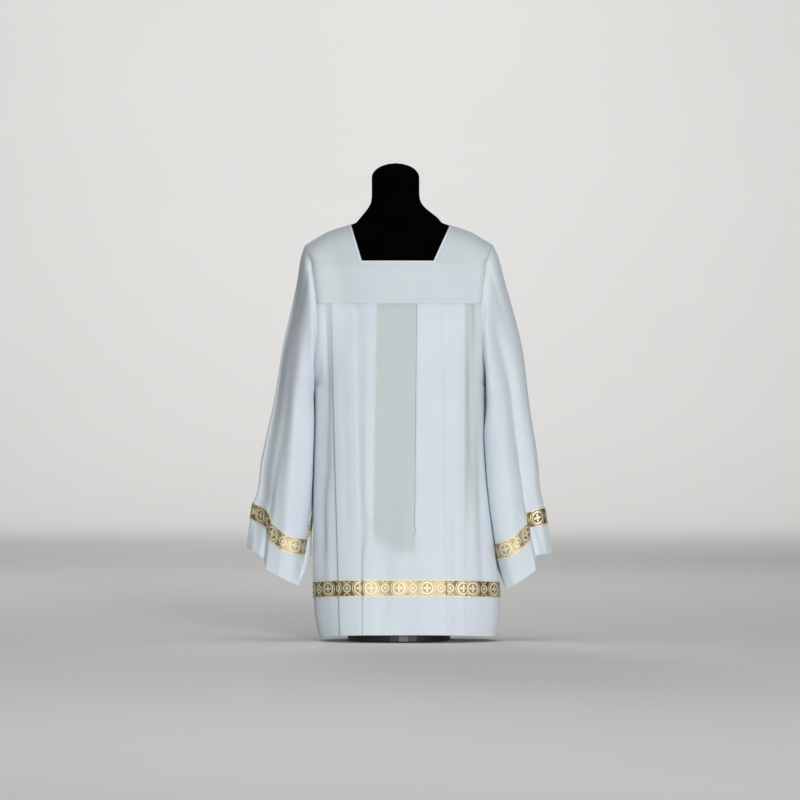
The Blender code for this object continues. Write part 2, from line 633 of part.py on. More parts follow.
def build_torso(collection, black):
    """The form's torso, shoulders and neck with a rounded cap, as rings of points."""
    rings = [(z, w, d, 0.0, TORSO_SQUARE)
             for z, w, d in zip(TORSO["z"], TORSO["width"], TORSO["depth"])]
    drop = (CLOTH + REST) * SHOULDER_SLANT
    for x, depth in zip(SHOULDER_STATIONS, SHOULDER_DEPTHS):
        rings.append((float(shoulder_height(x)) - drop, x, depth, 0.0, SHOULDER_SQUARE))
    neck_depth = NECK["width"][4]
    for z, width, lean in zip(NECK["z"], NECK["width"], NECK["lean"]):
        rings.append((z, width, min(width, neck_depth), lean, SHOULDER_SQUARE))
    work = bmesh.new()
    loops = []
    for z, width, depth, lean, square in rings:
        power = 2.0 / square
        loop = []
        for k in range(FORM_POINTS):
            angle = math.tau * k / FORM_POINTS
            cosine, sine = math.cos(angle), math.sin(angle)
            x = lean + width * math.copysign(abs(cosine) ** power, cosine)
            y = depth * math.copysign(abs(sine) ** power, sine)
            loop.append(work.verts.new((x, y, z)))
        loops.append(loop)
    for lower, upper in zip(loops, loops[1:]):
        for k in range(FORM_POINTS):
            m = (k + 1) % FORM_POINTS
            work.faces.new((lower[k], lower[m], upper[m], upper[k]))
    work.faces.new(loops[0])
    top = work.verts.new((NECK["lean"][-1], 0.0, NECK_TOP_Z))
    for k in range(FORM_POINTS):
        work.faces.new((loops[-1][k], loops[-1][(k + 1) % FORM_POINTS], top))
    bmesh.ops.recalc_face_normals(work, faces=work.faces)
    mesh = bpy.data.meshes.new("form_torso")
    work.to_mesh(mesh)
    work.free()
    mesh.shade_smooth()
    add_piece("form_torso", mesh, black, collection)


def add_cylinder(name, radius, low, high, sides, material, collection):
    """A standing cylinder between two heights."""
    bpy.ops.mesh.primitive_cylinder_add(vertices=sides, radius=radius, depth=high - low,
                                        location=(0.0, 0.0, (low + high) / 2))
    piece = bpy.context.object
    for owner in list(piece.users_collection):
        owner.objects.unlink(piece)
    collection.objects.link(piece)
    piece.name = name
    piece.data.materials.append(material)
    piece.data.shade_smooth()
    piece.data.set_sharp_from_angle(angle=math.radians(SHARP_DEGREES))
    return piece


def build_stand(collection, black):
    """The post under the torso and the round base."""
    base = add_cylinder("form_base", BASE_RADIUS, 0.0, BASE_HEIGHT, BASE_SIDES, black,
                        collection)
    edge = base.modifiers.new("rounded edge", "BEVEL")
    edge.width = BASE_EDGE
    edge.segments = 2
    edge.limit_method = "ANGLE"
    add_cylinder("form_post", POST_RADIUS, BASE_HEIGHT + SEAM, TORSO["z"][0] - SEAM,
                 POST_SIDES, black, collection)


def main():
    """Builds every piece."""
    clear_scene()
    collection = bpy.data.collections.new("surplice_on_form")
    bpy.context.scene.collection.children.link(collection)
    white = make_material("white cloth", WHITE, *CLOTH_FINISH)
    gold = make_material("gold braid", GOLD, *BRAID_FINISH)
    black = make_material("black form", BLACK, *FORM_FINISH)
    build_panels(collection, white, gold)
    build_shoulders(collection, white)
    build_binding(collection, white)
    build_sleeves(collection, white, gold)
    build_torso(collection, black)
    build_stand(collection, black)


main()
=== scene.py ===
"""The looks of a white surplice with gold braid on a black limbless dress form.

Metres, +Z up, the front faces -Y. Every piece of cloth is a thin wall on the same form as its
solid, with finer folds, seams and stitching.
"""
import functools
from math import acos, asin, atan2, copysign, cos, exp, hypot, pi, radians, sin, tau

import bmesh
import bpy
import numpy as np
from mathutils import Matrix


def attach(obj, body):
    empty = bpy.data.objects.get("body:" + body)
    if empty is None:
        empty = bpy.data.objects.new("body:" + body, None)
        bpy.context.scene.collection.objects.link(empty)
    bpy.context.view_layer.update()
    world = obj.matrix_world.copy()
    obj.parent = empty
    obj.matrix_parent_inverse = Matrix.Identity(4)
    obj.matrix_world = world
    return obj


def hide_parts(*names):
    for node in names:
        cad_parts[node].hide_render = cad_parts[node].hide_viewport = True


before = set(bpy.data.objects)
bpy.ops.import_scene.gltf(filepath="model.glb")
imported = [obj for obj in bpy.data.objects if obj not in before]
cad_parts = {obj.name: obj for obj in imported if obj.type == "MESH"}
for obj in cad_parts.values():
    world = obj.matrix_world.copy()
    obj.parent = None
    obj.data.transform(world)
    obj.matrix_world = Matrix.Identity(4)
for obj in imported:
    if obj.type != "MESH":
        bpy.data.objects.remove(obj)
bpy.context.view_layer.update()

# The garment's sizes, the same as the solids'. The first row of a table gives the places of
# the others: heights, distances from the middle, or shares of a length
CLOTH, BRAID = 0.001, 0.001
SEAM, ARM_SEAM, BRAID_GAP, REST, SLEEVE_CLEAR = 0.0003, 0.0007, 0.0004, 0.0006, 0.0022
HEM_Z, HEM_RISE = 0.008, 0.01
RISE_FROM_Z, RISE_FULL_Z = 0.24, 0.15
BRAID_Z = (0.1345, 0.0965)
UNDERARM_Z, PLEAT_TOP_Z, YOKE_SEAM_Z = 0.581, 0.776, 0.864
BINDING, YOKE_ROUND = 0.0065, 2.2
NECK_EDGE = {"left": (-0.0895, -0.1175), "right": (0.0825, 0.124)}
ARM_EDGE = {"left": (-0.2, -0.2165), "right": (0.2, 0.2165)}
SIDE_SIGN = {"left": -1, "right": 1}
SHOULDER_LINE = {
    "x": (0.095, 0.104, 0.111, 0.125, 0.145, 0.165, 0.186, 0.2, 0.2165),
    "z": (0.9645, 0.9605, 0.958, 0.953, 0.947, 0.9395, 0.9275, 0.919, 0.9095),
}
BODY = {
    "z": (0.008, 0.045, 0.1, 0.2, 0.42, 0.54, 0.581, 0.7, 0.776, 0.864),
    "left": (-0.177, -0.1865, -0.1915, -0.194, -0.1955, -0.1965, -0.199, -0.204, -0.206, -0.207),
    "right": (0.2195, 0.225, 0.2275, 0.2175, 0.1985, 0.197, 0.199, 0.204, 0.206, 0.207),
    "depth": (0.1335, 0.134, 0.1335, 0.132, 0.13, 0.129, 0.1285, 0.127, 0.124, 0.116),
}
BODY_SQUARE, ARM_FIT_FROM = 2.6, 0.45
ARMHOLE = {
    "z": (0.581, 0.6, 0.63, 0.68, 0.72, 0.776, 0.82, 0.864),
    "x": (0.199, 0.1972, 0.1935, 0.1885, 0.1875, 0.19, 0.1945, 0.2),
    "y": (0.0002, 0.034, 0.06, 0.084, 0.094, 0.097, 0.092, 0.08),
}
# Columns: top_x, hem_x, upper_side, tuck, opens
PLEATS = (
    (-0.154, -0.133, "right", 0.016, False),
    (-0.1035, -0.0875, "left", 0.016, False),
    (-0.0506, -0.062, "left", 0.018, True),
    (0.0414, 0.0345, "right", 0.018, True),
    (0.0966, 0.108, "left", 0.016, False),
    (0.1518, 0.1495, "left", 0.014, False),
)
OUTER_PITCH = (0.0015, 0.0018)
INNER_PITCH = (0.0017, 0.005)
PITCH_FULL_Z = 0.5
OPEN_FROM_Z, OPEN_BY_Z = 0.33, 0.17
OPEN_WIDTH, OPEN_ROUNDING = 0.036, (0.01, 0.036)
PLEAT_MARGIN, SIDE_WAVE = 0.003, 0.007
SLEEVE_OUTER = {
    "left": {
        "z": (0.9095, 0.878, 0.799, 0.689, 0.551, 0.413, 0.344, 0.312, 0.281, 0.213),
        "x": (-0.2165, -0.2325, -0.245, -0.2655, -0.2875, -0.317, -0.326, -0.337, -0.342, -0.351),
    },
    "right": {
        "z": (0.9095, 0.878, 0.799, 0.689, 0.551, 0.413, 0.344, 0.3035, 0.2651, 0.2005),
        "x": (0.2165, 0.2375, 0.26, 0.282, 0.299, 0.3197, 0.326, 0.3355, 0.3416, 0.353),
    },
}
SLEEVE_INNER = {
    "left": {"z": (0.5805, 0.5, 0.4, 0.3, 0.196), "x": (-0.2002, -0.2012, -0.2012, -0.201, -0.202)},
    "right": {"z": (0.5805, 0.5, 0.4, 0.3, 0.172), "x": (0.2002, 0.2025, 0.206, 0.2125, 0.234)},
}
# Half depth of a sleeve, the fold down its front, and how far it wraps round the body's side
SLEEVE_SHAPE = {
    "along": (0, 0.15, 0.35, 0.6, 0.85, 1),
    "depth": (0.097, 0.088, 0.076, 0.066, 0.061, 0.06),
    "fold": (0, 0.006, 0.015, 0.019, 0.01, 0),
    "wrap": (0, 0.005, 0.015, 0.015, 0.01, 0),
}
# The folded form of the cuff's front edge, by degrees round it from the outer line
CUFF = {
    "left": {
        "turn": (0, 25, 46, 57, 72, 98, 124, 146, 162, 180),
        "x": (-0.351, -0.338, -0.32, -0.3105, -0.3055, -0.276, -0.249, -0.229, -0.216, -0.202),
        "y": (0, -0.022, -0.034, -0.035, -0.052, -0.062, -0.06, -0.047, -0.028, 0),
        "z": (0.213, 0.2065, 0.1985, 0.188, 0.166, 0.15, 0.136, 0.127, 0.159, 0.196),
    },
    "right": {
        "turn": (0, 25, 48, 60, 74, 98, 124, 146, 162, 180),
        "x": (0.353, 0.34, 0.324, 0.3135, 0.314, 0.288, 0.264, 0.245, 0.239, 0.234),
        "y": (0, -0.022, -0.034, -0.035, -0.053, -0.064, -0.062, -0.049, -0.028, 0),
        "z": (0.2005, 0.2, 0.1995, 0.196, 0.164, 0.145, 0.13, 0.1185, 0.14, 0.172),
    },
}
CUFF_FOLD_FROM = 0.34  # share of the length from which the cuff's form grows
WRAP_PLACE, WRAP_SPREAD = 138, 26  # degrees round the sleeve
FOLD_PLACE = {"left": (44, 50, 58, 62, 62, 60), "right": (74, 74, 72, 68, 66, 66)}
FOLD_SPREAD, BACK_FOLD = 22, 0.6  # the fold behind, as a share of the one in front
CUFF_BRAID = (0.107, 0.068)  # distances of the braid's edges from the cuff's edge
HANG_BY = 0.38  # share of the length by which a sleeve has its own form
TORSO = {
    "z": (0.215, 0.224, 0.3, 0.4, 0.52, 0.64, 0.74, 0.81, 0.86, 0.892, 0.912, 0.922),
    "width": (0.148, 0.158, 0.172, 0.162, 0.145, 0.155, 0.168, 0.176, 0.184, 0.188, 0.1865, 0.182),
    "depth": (0.096, 0.105, 0.114, 0.104, 0.094, 0.101, 0.108, 0.107, 0.101, 0.093, 0.085, 0.08),
}
TORSO_SQUARE, SHOULDER_SQUARE, SHOULDER_SLANT = 2.25, 2, 1.08
SHOULDER_STATIONS = (0.165, 0.15, 0.135, 0.12, 0.11, 0.099)
SHOULDER_DEPTHS = (0.066, 0.061, 0.058, 0.0565, 0.0557, 0.0555)
NECK = {
    "z": (0.97, 0.982, 0.9945, 1.0085, 1.03, 1.0637, 1.079, 1.09, 1.096),
    "width": (0.091, 0.079, 0.0665, 0.0575, 0.0547, 0.0547, 0.049, 0.035, 0.017),
    "lean": (0, -0.002, -0.005, -0.007, -0.008, -0.008, -0.008, -0.008, -0.008),
}
NECK_TOP_Z = 1.098

# How fine the cloth is here
TURN_POINTS, BETWEEN_POINTS, SIDE_POINTS = 8, 7, 16
LAYER_STEP = 0.006  # longest step along a pleat's hidden layers
PANEL_STEP = 0.0085  # height of a row of the skirt
SLEEVE_COLUMNS, SLEEVE_ROWS = 132, 104
FORM_POINTS, RING_STEPS = 96, 4  # round the form, and from one ring of its tables to the next
OUTLINE_POINTS = 481
BAND_ROWS, BAND_COLUMNS = 54, 120
YOKE_ROWS, YOKE_COLUMNS = 73, 40
ARM_POINTS = 40  # down the armhole beside the shoulder piece; twice as many below it
BRAID_ROWS = 5
BINDING_POINTS, BINDING_TURNS, BINDING_ROWS = 26, 61, 7  # straight run, shoulder, width
SHARP_FROM = 60  # degrees between two faces that make an edge sharp

# The picture's framing: a pixel is this long, and the middle of the picture is here
PIXEL, PICTURE_SIZE, PICTURE_CENTRE = 0.0023, 800, (0.0023, 0.5531)
CAMERA_DISTANCE, SENSOR = 12, 36
FLOOR_REACH = 17
BACKDROP_Y, BEND = 12, 5  # where the floor begins to curve up, and how wide its bend is
BACKDROP_TOP, BEND_POINTS = 11, 16
SKY, SKY_STRENGTH = (0.93, 0.96, 1, 1), 0.12
PLAIN = (1, 1, 1)
# Columns: name, place, what it looks at, size, power, spread in degrees, colour
LIGHTS = (
    ("key light", (2.9, -13.7, 1.8), (0, 0, 0.6), 2.8, 130, 60, (1, 0.99, 0.98)),
    ("top light", (0, -1, 4.6), (0, 0.6, 0), 4, 55, 180, (0.96, 0.98, 1)),
    ("back light", (-2, 10, 2.4), (0, 0, 0.6), 2.8, 10.5, 40, PLAIN),
    ("near floor light", (0, -4.2, 2.3), (0, -4.2, 0), 4, 12, 110, PLAIN),
    ("far floor light", (0, 4.6, 3.2), (0, 4.6, 0), 5, 26, 120, PLAIN),
    ("backdrop light", (0, 9.5, 7.5), (0, 17, 1), 5, 330, 150, PLAIN),
)

# Soft creases of the skirt, front and back, each a straight line down the cloth.
# Columns: x and z at the upper end, x and z at the lower end, width, depth (minus is a trough)
SKIRT_CREASES = (
    (-0.184, 0.7, -0.176, 0.14, 0.012, -0.007),
    (-0.166, 0.56, -0.158, 0.06, 0.009, 0.0026),
    (-0.128, 0.64, -0.116, 0.2, 0.01, -0.0012),
    (-0.076, 0.56, -0.07, 0.12, 0.011, 0.0013),
    (-0.012, 0.7, -0.02, 0.32, 0.022, -0.0016),
    (0.014, 0.42, 0.004, 0.03, 0.02, 0.0022),
    (-0.03, 0.21, -0.036, 0.01, 0.013, -0.0024),
    (0.068, 0.6, 0.076, 0.16, 0.01, -0.0012),
    (0.126, 0.56, 0.13, 0.08, 0.01, 0.0014),
    (0.168, 0.64, 0.172, 0.14, 0.009, 0.0028),
    (0.184, 0.54, 0.196, 0.04, 0.011, -0.0042),
    (-0.169, 0.84, -0.166, 0.3, 0.01, -0.008),
    (0.163, 0.84, 0.168, 0.33, 0.009, -0.007),
)
SHALLOW_X, SHALLOW_PITCH = 0.1035, 0.0017  # this pleat and the middle ones lie flat
LAP, LAP_OUT, LAP_RISE = 0.0035, 0.0034, 0.012  # the band's lower edge lies on the pleats
BAND_END = 0.015  # it draws in over this length at the armholes
WELT, WELT_OUT = 0.006, 0.0011  # the pressed seam at its upper edge
WELT_LAP = 0.0016  # how far it lies over the shoulder pieces
BAND_HEIGHTS = np.linspace(YOKE_SEAM_Z + WELT_LAP, PLEAT_TOP_Z - LAP, BAND_ROWS)
CREASE_EDGE = 0.02  # a panel's creases begin this far from its sides
SIDE_LEVEL_FROM = 0.4  # share of a side fold from which it rises to the next pleat
BINDING_CROWN = 0.0004  # how far the edge of the neck is rounded
HEAD_ROLL = 0.0055  # how far a sleeve stands out beside its armhole seam
HEAD_OUT, HEAD_LAP = 0.0018, 0.001  # how its sewn edge lies on the edge of the armhole
HEAD_FROM_Z, HEAD_FULL_Z = 0.62, 0.72
CREASE_FADE = 0.22  # share of a crease's length over which each end fades
# The hanging part of a sleeve laps round the body's side: by share of its length, how far
LAP_ROUND = {"along": (0, 0.13, 0.7, 1), "reach": (0, 0.018, 0.014, 0)}
LAP_PLACE, LAP_SPREAD = 131, 17
LAP_FRONT = 0.36  # share of that reach in front
# The edges of a sleeve fall back. Columns: turn round it, spread at the top and from half
# way down, share; and how far along
FALL_BACK = {
    "left": ((22, 19, 22, 0.66), (150, 20, 20, 0.62)),
    "right": ((28, 18, 18, 0.1), (152, 19, 19, 0.58)),
}
FALL_FADE = (0, 0.23, 1.02, 0.86)
FALL_SPREAD_BY = 0.5
SEWN_FADE = 0.05  # share of a sleeve's length over which its creases leave the armhole
ROLL_END = (0.2, 0.06)  # shares between which the roll beside the armhole fades
ROLL_TURNS = (30, 75)  # degrees round the sleeve, either way, between which it grows
CLEAR_BY = 0.06  # share of the length by which a sleeve stands clear of the body
# Creases of a sleeve. Columns: turn round it in degrees and share of its length at the upper
# end, the same at the lower end, width in degrees, depth
BACK_CREASES = (
    (208, 0.3, 206, 0.98, 13, 0.007),
    (236, 0.3, 240, 1.05, 11, 0.0035),
    (262, 0.02, 258, 0.6, 12, -0.006),
    (296, 0.1, 292, 1, 13, -0.005),
    (330, 0.2, 334, 0.95, 12, -0.004),
)
SLEEVE_CREASES = {
    "left": (
        (42, -0.14, 66, 1.02, 20, 0.012),
        (70, 0.08, 110, 1, 20, 0.009),
        (118, 0.06, 152, 0.66, 12, -0.006),
        (150, 0.46, 152, 1.04, 14, -0.005),
        (150, -0.04, 156, 0.42, 13, 0.005),
    ),
    "right": (
        (80, 0.02, 36, 1.04, 15, -0.0085),
        (126, -0.02, 114, 1, 18, 0.008),
        (154, 0.1, 154, 1.02, 12, -0.005),
    ),
}

# Colours and threads
WHITE = (0.692, 0.778, 0.812, 1)
WHITE_DULL = (0.684, 0.738, 0.82, 1)
WHITE_SLUB = (0.74, 0.8, 0.845, 1)
SEEN_THROUGH = (0.565, 0.628, 0.632, 1)
GOLD_LIGHT = (0.97, 0.91, 0.7, 1)
GOLD_DEEP = (0.86, 0.75, 0.48, 1)
# the braid's pale ground: its thread tops, and the painted light where the key light catches the
# braid
GROUND_LIGHT = (0.62, 0.51, 0.3, 1)
GROUND_DEEP = (0.11, 0.075, 0.02, 1)
KNIT = ((0.0003, 0.0003, 0.0004, 1), (0.0008, 0.0008, 0.0009, 1), (0.0012, 0.0012, 0.0013, 1))
ENAMEL = ((0.012, 0.012, 0.013, 1), (0.03, 0.03, 0.032, 1))
FLOOR = ((0.84, 0.83, 0.81, 1), (0.88, 0.87, 0.85, 1))
THREAD_PITCH = 0.0009  # two threads of the cloth
GOLD_PITCH = (0.0009, 0.0005)  # the same of the braid, across and down
SLUB_SCALE = (1400, 60, 1)  # how the thicker threads' noise is drawn out
BRAID_WIDTH = BRAID_Z[0] - BRAID_Z[1]
BRAID_REPEAT = 0.064  # from one large ring of the braid to the next
LINE_EDGE, LOBE_EDGE = (0.45, 0.6), 0.012  # where a ring and a lobe of the braid end
STRIP_WIDTH = 0.01  # width of the strip that binds the neck, with what is turned under
HEM_FOLD, CUFF_FOLD = 0.016, 0.014  # widths of what is turned under
STITCH = (0.0024, 0.0009, 0.00022)  # length, the space to the next, radius of the thread
STITCH_SWELL = (0.35, 0.85, 1, 0.85, 0.35)  # share of that radius along a stitch
STITCH_DEPTH = 0.6  # how deep a stitch sits, as a share of the radius
STITCH_IN = 0.0018  # distance of a row of stitches from the edge it holds
SHOWN_NEAR = 0.0007  # parts of a pleat this near to each other can hide one another
# How far the form shows through a single layer: the form's lower edge, and how soft its edges are
SEEN_FROM_Z, SEEN_FADE, SEEN_SLANT = 0.182, 0.044, 0.03
SEEN_SLANT_X, SEEN_EDGE = 0.055, 0.0022
BAND_SEEN, SHOULDER_SEEN = 0.4, 0.7
SIDE_SEEN = 0.85  # the side panels hang clear of the form, so it shows less there
SIDE_SEEN_X, SIDE_SEEN_Z = (0.19, 0.168), (0.2, 0.4)


def ease(value, low, high):
    """From 0 at low softly to 1 at high, which may be lower."""
    share = np.clip((value - low) / (high - low), 0, 1)
    return share * share * (3 - 2 * share)


def fade_ends(share):
    """Fades a crease at its ends."""
    return ease(share, 0, CREASE_FADE) * ease(share, 1, 1 - CREASE_FADE)


def bell(value, middle, width):
    """A soft bump of height 1."""
    return exp(-((value - middle) / width) ** 2)


def signed_power(value, power):
    """A power that keeps the value's sign."""
    return copysign(abs(value) ** power, value)


def unit(vectors):
    """The vectors at length 1."""
    return vectors / np.linalg.norm(vectors, axis=-1)[..., None]


def left_of(steps):
    """Steps across and out, turned a quarter to their left."""
    return np.stack([-steps[:, 1], steps[:, 0]], axis=1)


def step_lengths(points, axis=0):
    """Distances from each point to the next."""
    return np.linalg.norm(np.diff(points, axis=axis), axis=-1)


def lengths_along(points):
    """Each point's distance along the path."""
    return np.concatenate(([0], np.cumsum(step_lengths(points))))


def sample(places, lengths, values):
    """A path's values at distances along it."""
    return np.stack([np.interp(places, lengths, column) for column in values.T], axis=1)


def curve_through(places, values, place):
    """A smooth curve through values, without overshoot (Fritsch and Carlson)."""
    places = np.asarray(places, float)
    values = np.asarray(values, float)
    if places[0] > places[-1]:
        places, values = places[::-1], values[::-1]
    steps = np.diff(places)
    slopes = np.diff(values) / steps
    tangents = np.concatenate(([slopes[0]], (slopes[1:] + slopes[:-1]) / 2, [slopes[-1]]))
    tangents[1:-1][slopes[1:] * slopes[:-1] <= 0] = 0
    limit = 3 * np.minimum(np.abs(slopes[1:]), np.abs(slopes[:-1]))
    tangents[1:-1] = np.clip(tangents[1:-1], -limit, limit)
    place = np.clip(place, places[0], places[-1])
    index = np.clip(np.searchsorted(places, place) - 1, 0, len(steps) - 1)
    share = (place - places[index]) / steps[index]
    start = (1 + 2 * share) * (1 - share) ** 2 * values[index]
    start_slope = share * (1 - share) ** 2 * steps[index] * tangents[index]
    end = share ** 2 * (3 - 2 * share) * values[index + 1]
    end_slope = share ** 2 * (share - 1) * steps[index] * tangents[index + 1]
    return start + start_slope + end + end_slope


def read(table, key, place):
    """A table's row at a place, which its first row measures."""
    return curve_through(next(iter(table.values())), table[key], place)


def shoulder_height(distance):
    """Height of the shoulder line."""
    return read(SHOULDER_LINE, "z", abs(distance))


class BodyCurve:
    """The garment's outline at a height, from its left edge round the front or the back."""

    def __init__(self, z, face):
        left, right, depth = (read(BODY, key, z) for key in ("left", "right", "depth"))
        centre, half = (left + right) / 2, (right - left) / 2
        reach, edge_y = pi / 2, SEAM / 2
        if z > UNDERARM_Z:
            edge_x, edge_y = (read(ARMHOLE, key, z) for key in "xy")
            reach = asin(min(1, (edge_x / half) ** (BODY_SQUARE / 2)))
        share = np.linspace(-1, 1, OUTLINE_POINTS)
        turn = share * reach
        power = 2 / BODY_SQUARE
        x = centre + half * np.sign(share) * np.abs(np.sin(turn)) ** power
        y = depth * np.abs(np.cos(turn)) ** power
        y += (edge_y - y[0]) * ease(np.abs(share), ARM_FIT_FROM, 1)
        self.points = np.stack([x, face * y], axis=1)
        self.length = lengths_along(self.points)
        self.normal = face * left_of(unit(np.gradient(self.points, self.length, axis=0)))

    def place(self, length, out):
        """Points by distance along the curve and out from it."""
        x, y, normal_x, normal_y = (np.interp(length, self.length, column)
                                    for column in (*self.points.T, *self.normal.T))
        return x + out * normal_x, y + out * normal_y


@functools.lru_cache(maxsize=None)
def body_curve(millimetres, face):
    """The outline at a height, worked out once."""
    return BodyCurve(millimetres / 1000, face)


def arc(centre, radius, start, end):
    """One bend of a pleat, as distances along and out."""
    angles = np.linspace(start, end, TURN_POINTS)
    return [(centre[0] + radius * cos(a), centre[1] + radius * sin(a)) for a in angles]


def pleat_points(place, tuck, upper_side, outer, inner):
    """One pleat as a path from left to right: its upper layer, the way back under it and the
    lower layer. A negative tuck is a pleat that has opened out to a slope of that length."""
    slope = max(-tuck, 0)
    rounding = 0.5 * slope * ease(slope, *OPEN_ROUNDING)
    upper_radius = outer / 2 + rounding
    lower_radius = inner / 2 + rounding
    upper = np.array([place - slope / 2, outer - upper_radius])
    lower = np.array([upper[0] - tuck, lower_radius - inner])
    step = lower - upper
    reach = (upper_radius + lower_radius) / hypot(*step)
    leave = atan2(step[1], step[0]) + acos(min(1, reach))
    points = arc(upper, upper_radius, pi / 2, leave)
    points += arc(lower, lower_radius, leave + pi, pi * 1.5)
    start = min(upper[0] - PLEAT_MARGIN, lower[0])
    end = max(lower[0], upper[0] + outer) + PLEAT_MARGIN
    points = [(start, outer)] + points + [(end, -inner)]
    if upper_side == "right":
        points = [(2 * place - length, out) for length, out in reversed(points)]
    return points


def side_run(edge, pleat_end, wave):
    """Cloth from a side edge to the first pleat, with two soft folds."""
    run = []
    for share in np.linspace(0, 1, SIDE_POINTS, endpoint=False):
        out = pleat_end[1] * ease(share, SIDE_LEVEL_FROM, 1)
        out += wave * sin(share * tau) * (1 - share)
        run.append((edge + (pleat_end[0] - edge) * share, out))
    return run


def between(start, end):
    """Cloth from one pleat's level to the next one's."""
    shares = np.arange(1, BETWEEN_POINTS + 1) / (BETWEEN_POINTS + 1)
    return [(start[0] + (end[0] - start[0]) * s,
             start[1] + (end[1] - start[1]) * ease(s, 0, 1)) for s in shares]


def facing_pleats(face):
    """The front's pleats, or the back's, which mirror them."""
    if face < 0:
        return PLEATS
    swap = {"left": "right", "right": "left"}
    return [(-p[0], -p[1], swap[p[2]], p[3], p[4]) for p in reversed(PLEATS)]


def pleat_place(pleat, z):
    """Where a pleat's edge is at a height."""
    return pleat[0] + (pleat[1] - pleat[0]) * ((PLEAT_TOP_Z - z) / (PLEAT_TOP_Z - HEM_Z))


def panel_path(z, face):
    """The pleated cloth at one height, as distances along and out, from left to right."""
    curve = BodyCurve(z, face)
    full = ease(z, PLEAT_TOP_Z, PITCH_FULL_Z)
    outer, inner = (top + (low - top) * full for top, low in (OUTER_PITCH, INNER_PITCH))
    runs = []
    for pleat in facing_pleats(face):
        place = float(np.interp(pleat_place(pleat, z), curve.points[:, 0], curve.length))
        tuck = pleat[3]
        if pleat[4]:
            tuck -= (tuck + OPEN_WIDTH) * ease(z, OPEN_FROM_Z, OPEN_BY_Z)
        flat = pleat[4] or abs(pleat[0]) == SHALLOW_X
        runs.append(pleat_points(place, tuck, pleat[2], outer, SHALLOW_PITCH if flat else inner))
    wave = SIDE_WAVE * ease(z, UNDERARM_Z, HEM_Z)
    path = side_run(0, runs[0][0], wave)
    for run, following in zip(runs, runs[1:]):
        path += run + between(run[-1], following[0])
    path += runs[-1] + side_run(curve.length[-1], runs[-1][-1], wave)[::-1]
    return np.array(path)


def panel_paths(heights, face):
    """The pleated cloth at each height, with no long steps and as many points in every row."""
    paths = np.array([panel_path(z, face) for z in heights])
    parts = np.maximum(1, np.ceil(step_lengths(paths, 1).max(axis=0) / LAYER_STEP)).astype(int)
    columns = []
    for index, count in enumerate(parts):
        for share in np.arange(count) / count:
            columns.append(paths[:, index] * (1 - share) + paths[:, index + 1] * share)
    columns.append(paths[:, -1])
    return np.stack(columns, axis=1)


def offset_path(path, distance):
    """The path moved to its left side by a distance, with mitred corners."""
    normals = left_of(unit(np.diff(path, axis=0)))
    before = np.concatenate((normals[:1], normals))
    joined = before + np.concatenate((normals, normals[-1:]))
    joined /= np.einsum("ij,ij->i", joined, before)[:, None]
    return path + distance * joined


def crease_depth(x, z, face):
    """How far the skirt's soft creases move the cloth out."""
    depth = np.zeros_like(x)
    for x_top, z_top, x_low, z_low, width, height in SKIRT_CREASES:
        along = (z_top - z) / (z_top - z_low)
        line = x_top + (x_low - x_top) * along
        depth += height * fade_ends(along) * np.exp(-((-face * x - line) / width) ** 2)
    return depth


def panel_rows(z_high, z_low):
    """Heights of rows between two heights."""
    return np.linspace(z_high, z_low, round((z_high - z_low) / PANEL_STEP) + 1)


def panel_layer(paths, heights, face, distance):
    """Rows of the pleated cloth, a distance out from its middle."""
    rows = []
    for z, path in zip(heights, paths):
        curve = BodyCurve(z, face)
        middle_x, _ = curve.place(path[:, 0], path[:, 1])
        moved = offset_path(path, distance)
        edge = np.minimum(path[:, 0], curve.length[-1] - path[:, 0])
        inside = ease(edge, 0, CREASE_EDGE)
        out = moved[:, 1] + crease_depth(middle_x, z, face) * inside
        x, y = curve.place(moved[:, 0], out)
        rise = HEM_RISE * ease(z, RISE_FROM_Z, RISE_FULL_Z)
        rows.append(np.stack([x, y, z + rise * np.abs(y) / np.abs(y).max()], axis=1))
    return np.array(rows)


def band_layer(face, distance, heights=BAND_HEIGHTS):
    """Rows of the smooth band, which laps over the shoulder pieces and the pleats."""
    grid = []
    for z in heights:
        curve = BodyCurve(z, face)
        lengths = np.linspace(0, curve.length[-1], BAND_COLUMNS)
        proud = LAP_OUT * ease(z, PLEAT_TOP_Z + LAP_RISE, PLEAT_TOP_Z)
        proud += WELT_OUT * ease(z, YOKE_SEAM_Z - WELT, YOKE_SEAM_Z - WELT / 2)
        edge = np.minimum(lengths, lengths[-1] - lengths)
        x, y = curve.place(lengths, distance + proud * ease(edge, 0, BAND_END))
        grid.append(np.stack([x, y, np.full_like(x, z)], axis=1))
    return np.array(grid)


def yoke_point(side, across, turn, inset=0):
    """A point of a shoulder piece: across from neck to armhole, turn from front to back."""
    seam = body_curve(round(YOKE_SEAM_Z * 1000), -1)
    power = 2 / YOKE_ROUND
    rise = max(sin(turn), 0) ** power
    front_x, top_x = (neck + (arm - neck) * across + SIDE_SIGN[side] * inset
                      for neck, arm in zip(NECK_EDGE[side], ARM_EDGE[side]))
    front_y = np.interp(front_x, seam.points[:, 0], seam.points[:, 1])
    x = front_x + (top_x - front_x) * rise
    y = front_y * signed_power(cos(turn), power)
    return (x, y, YOKE_SEAM_Z + (shoulder_height(top_x) - YOKE_SEAM_Z) * rise)


def armhole_line(side):
    """The front half of the armhole, from the tip of the shoulder down."""
    front = [yoke_point(side, 1, turn) for turn in np.linspace(pi / 2, 0, ARM_POINTS)]
    for z in np.linspace(YOKE_SEAM_Z, UNDERARM_Z, 2 * ARM_POINTS)[1:]:
        front.append((SIDE_SIGN[side] * read(ARMHOLE, "x", z), -read(ARMHOLE, "y", z), z))
    front = np.array(front)
    front[[0, -1], 1] = 0
    return front


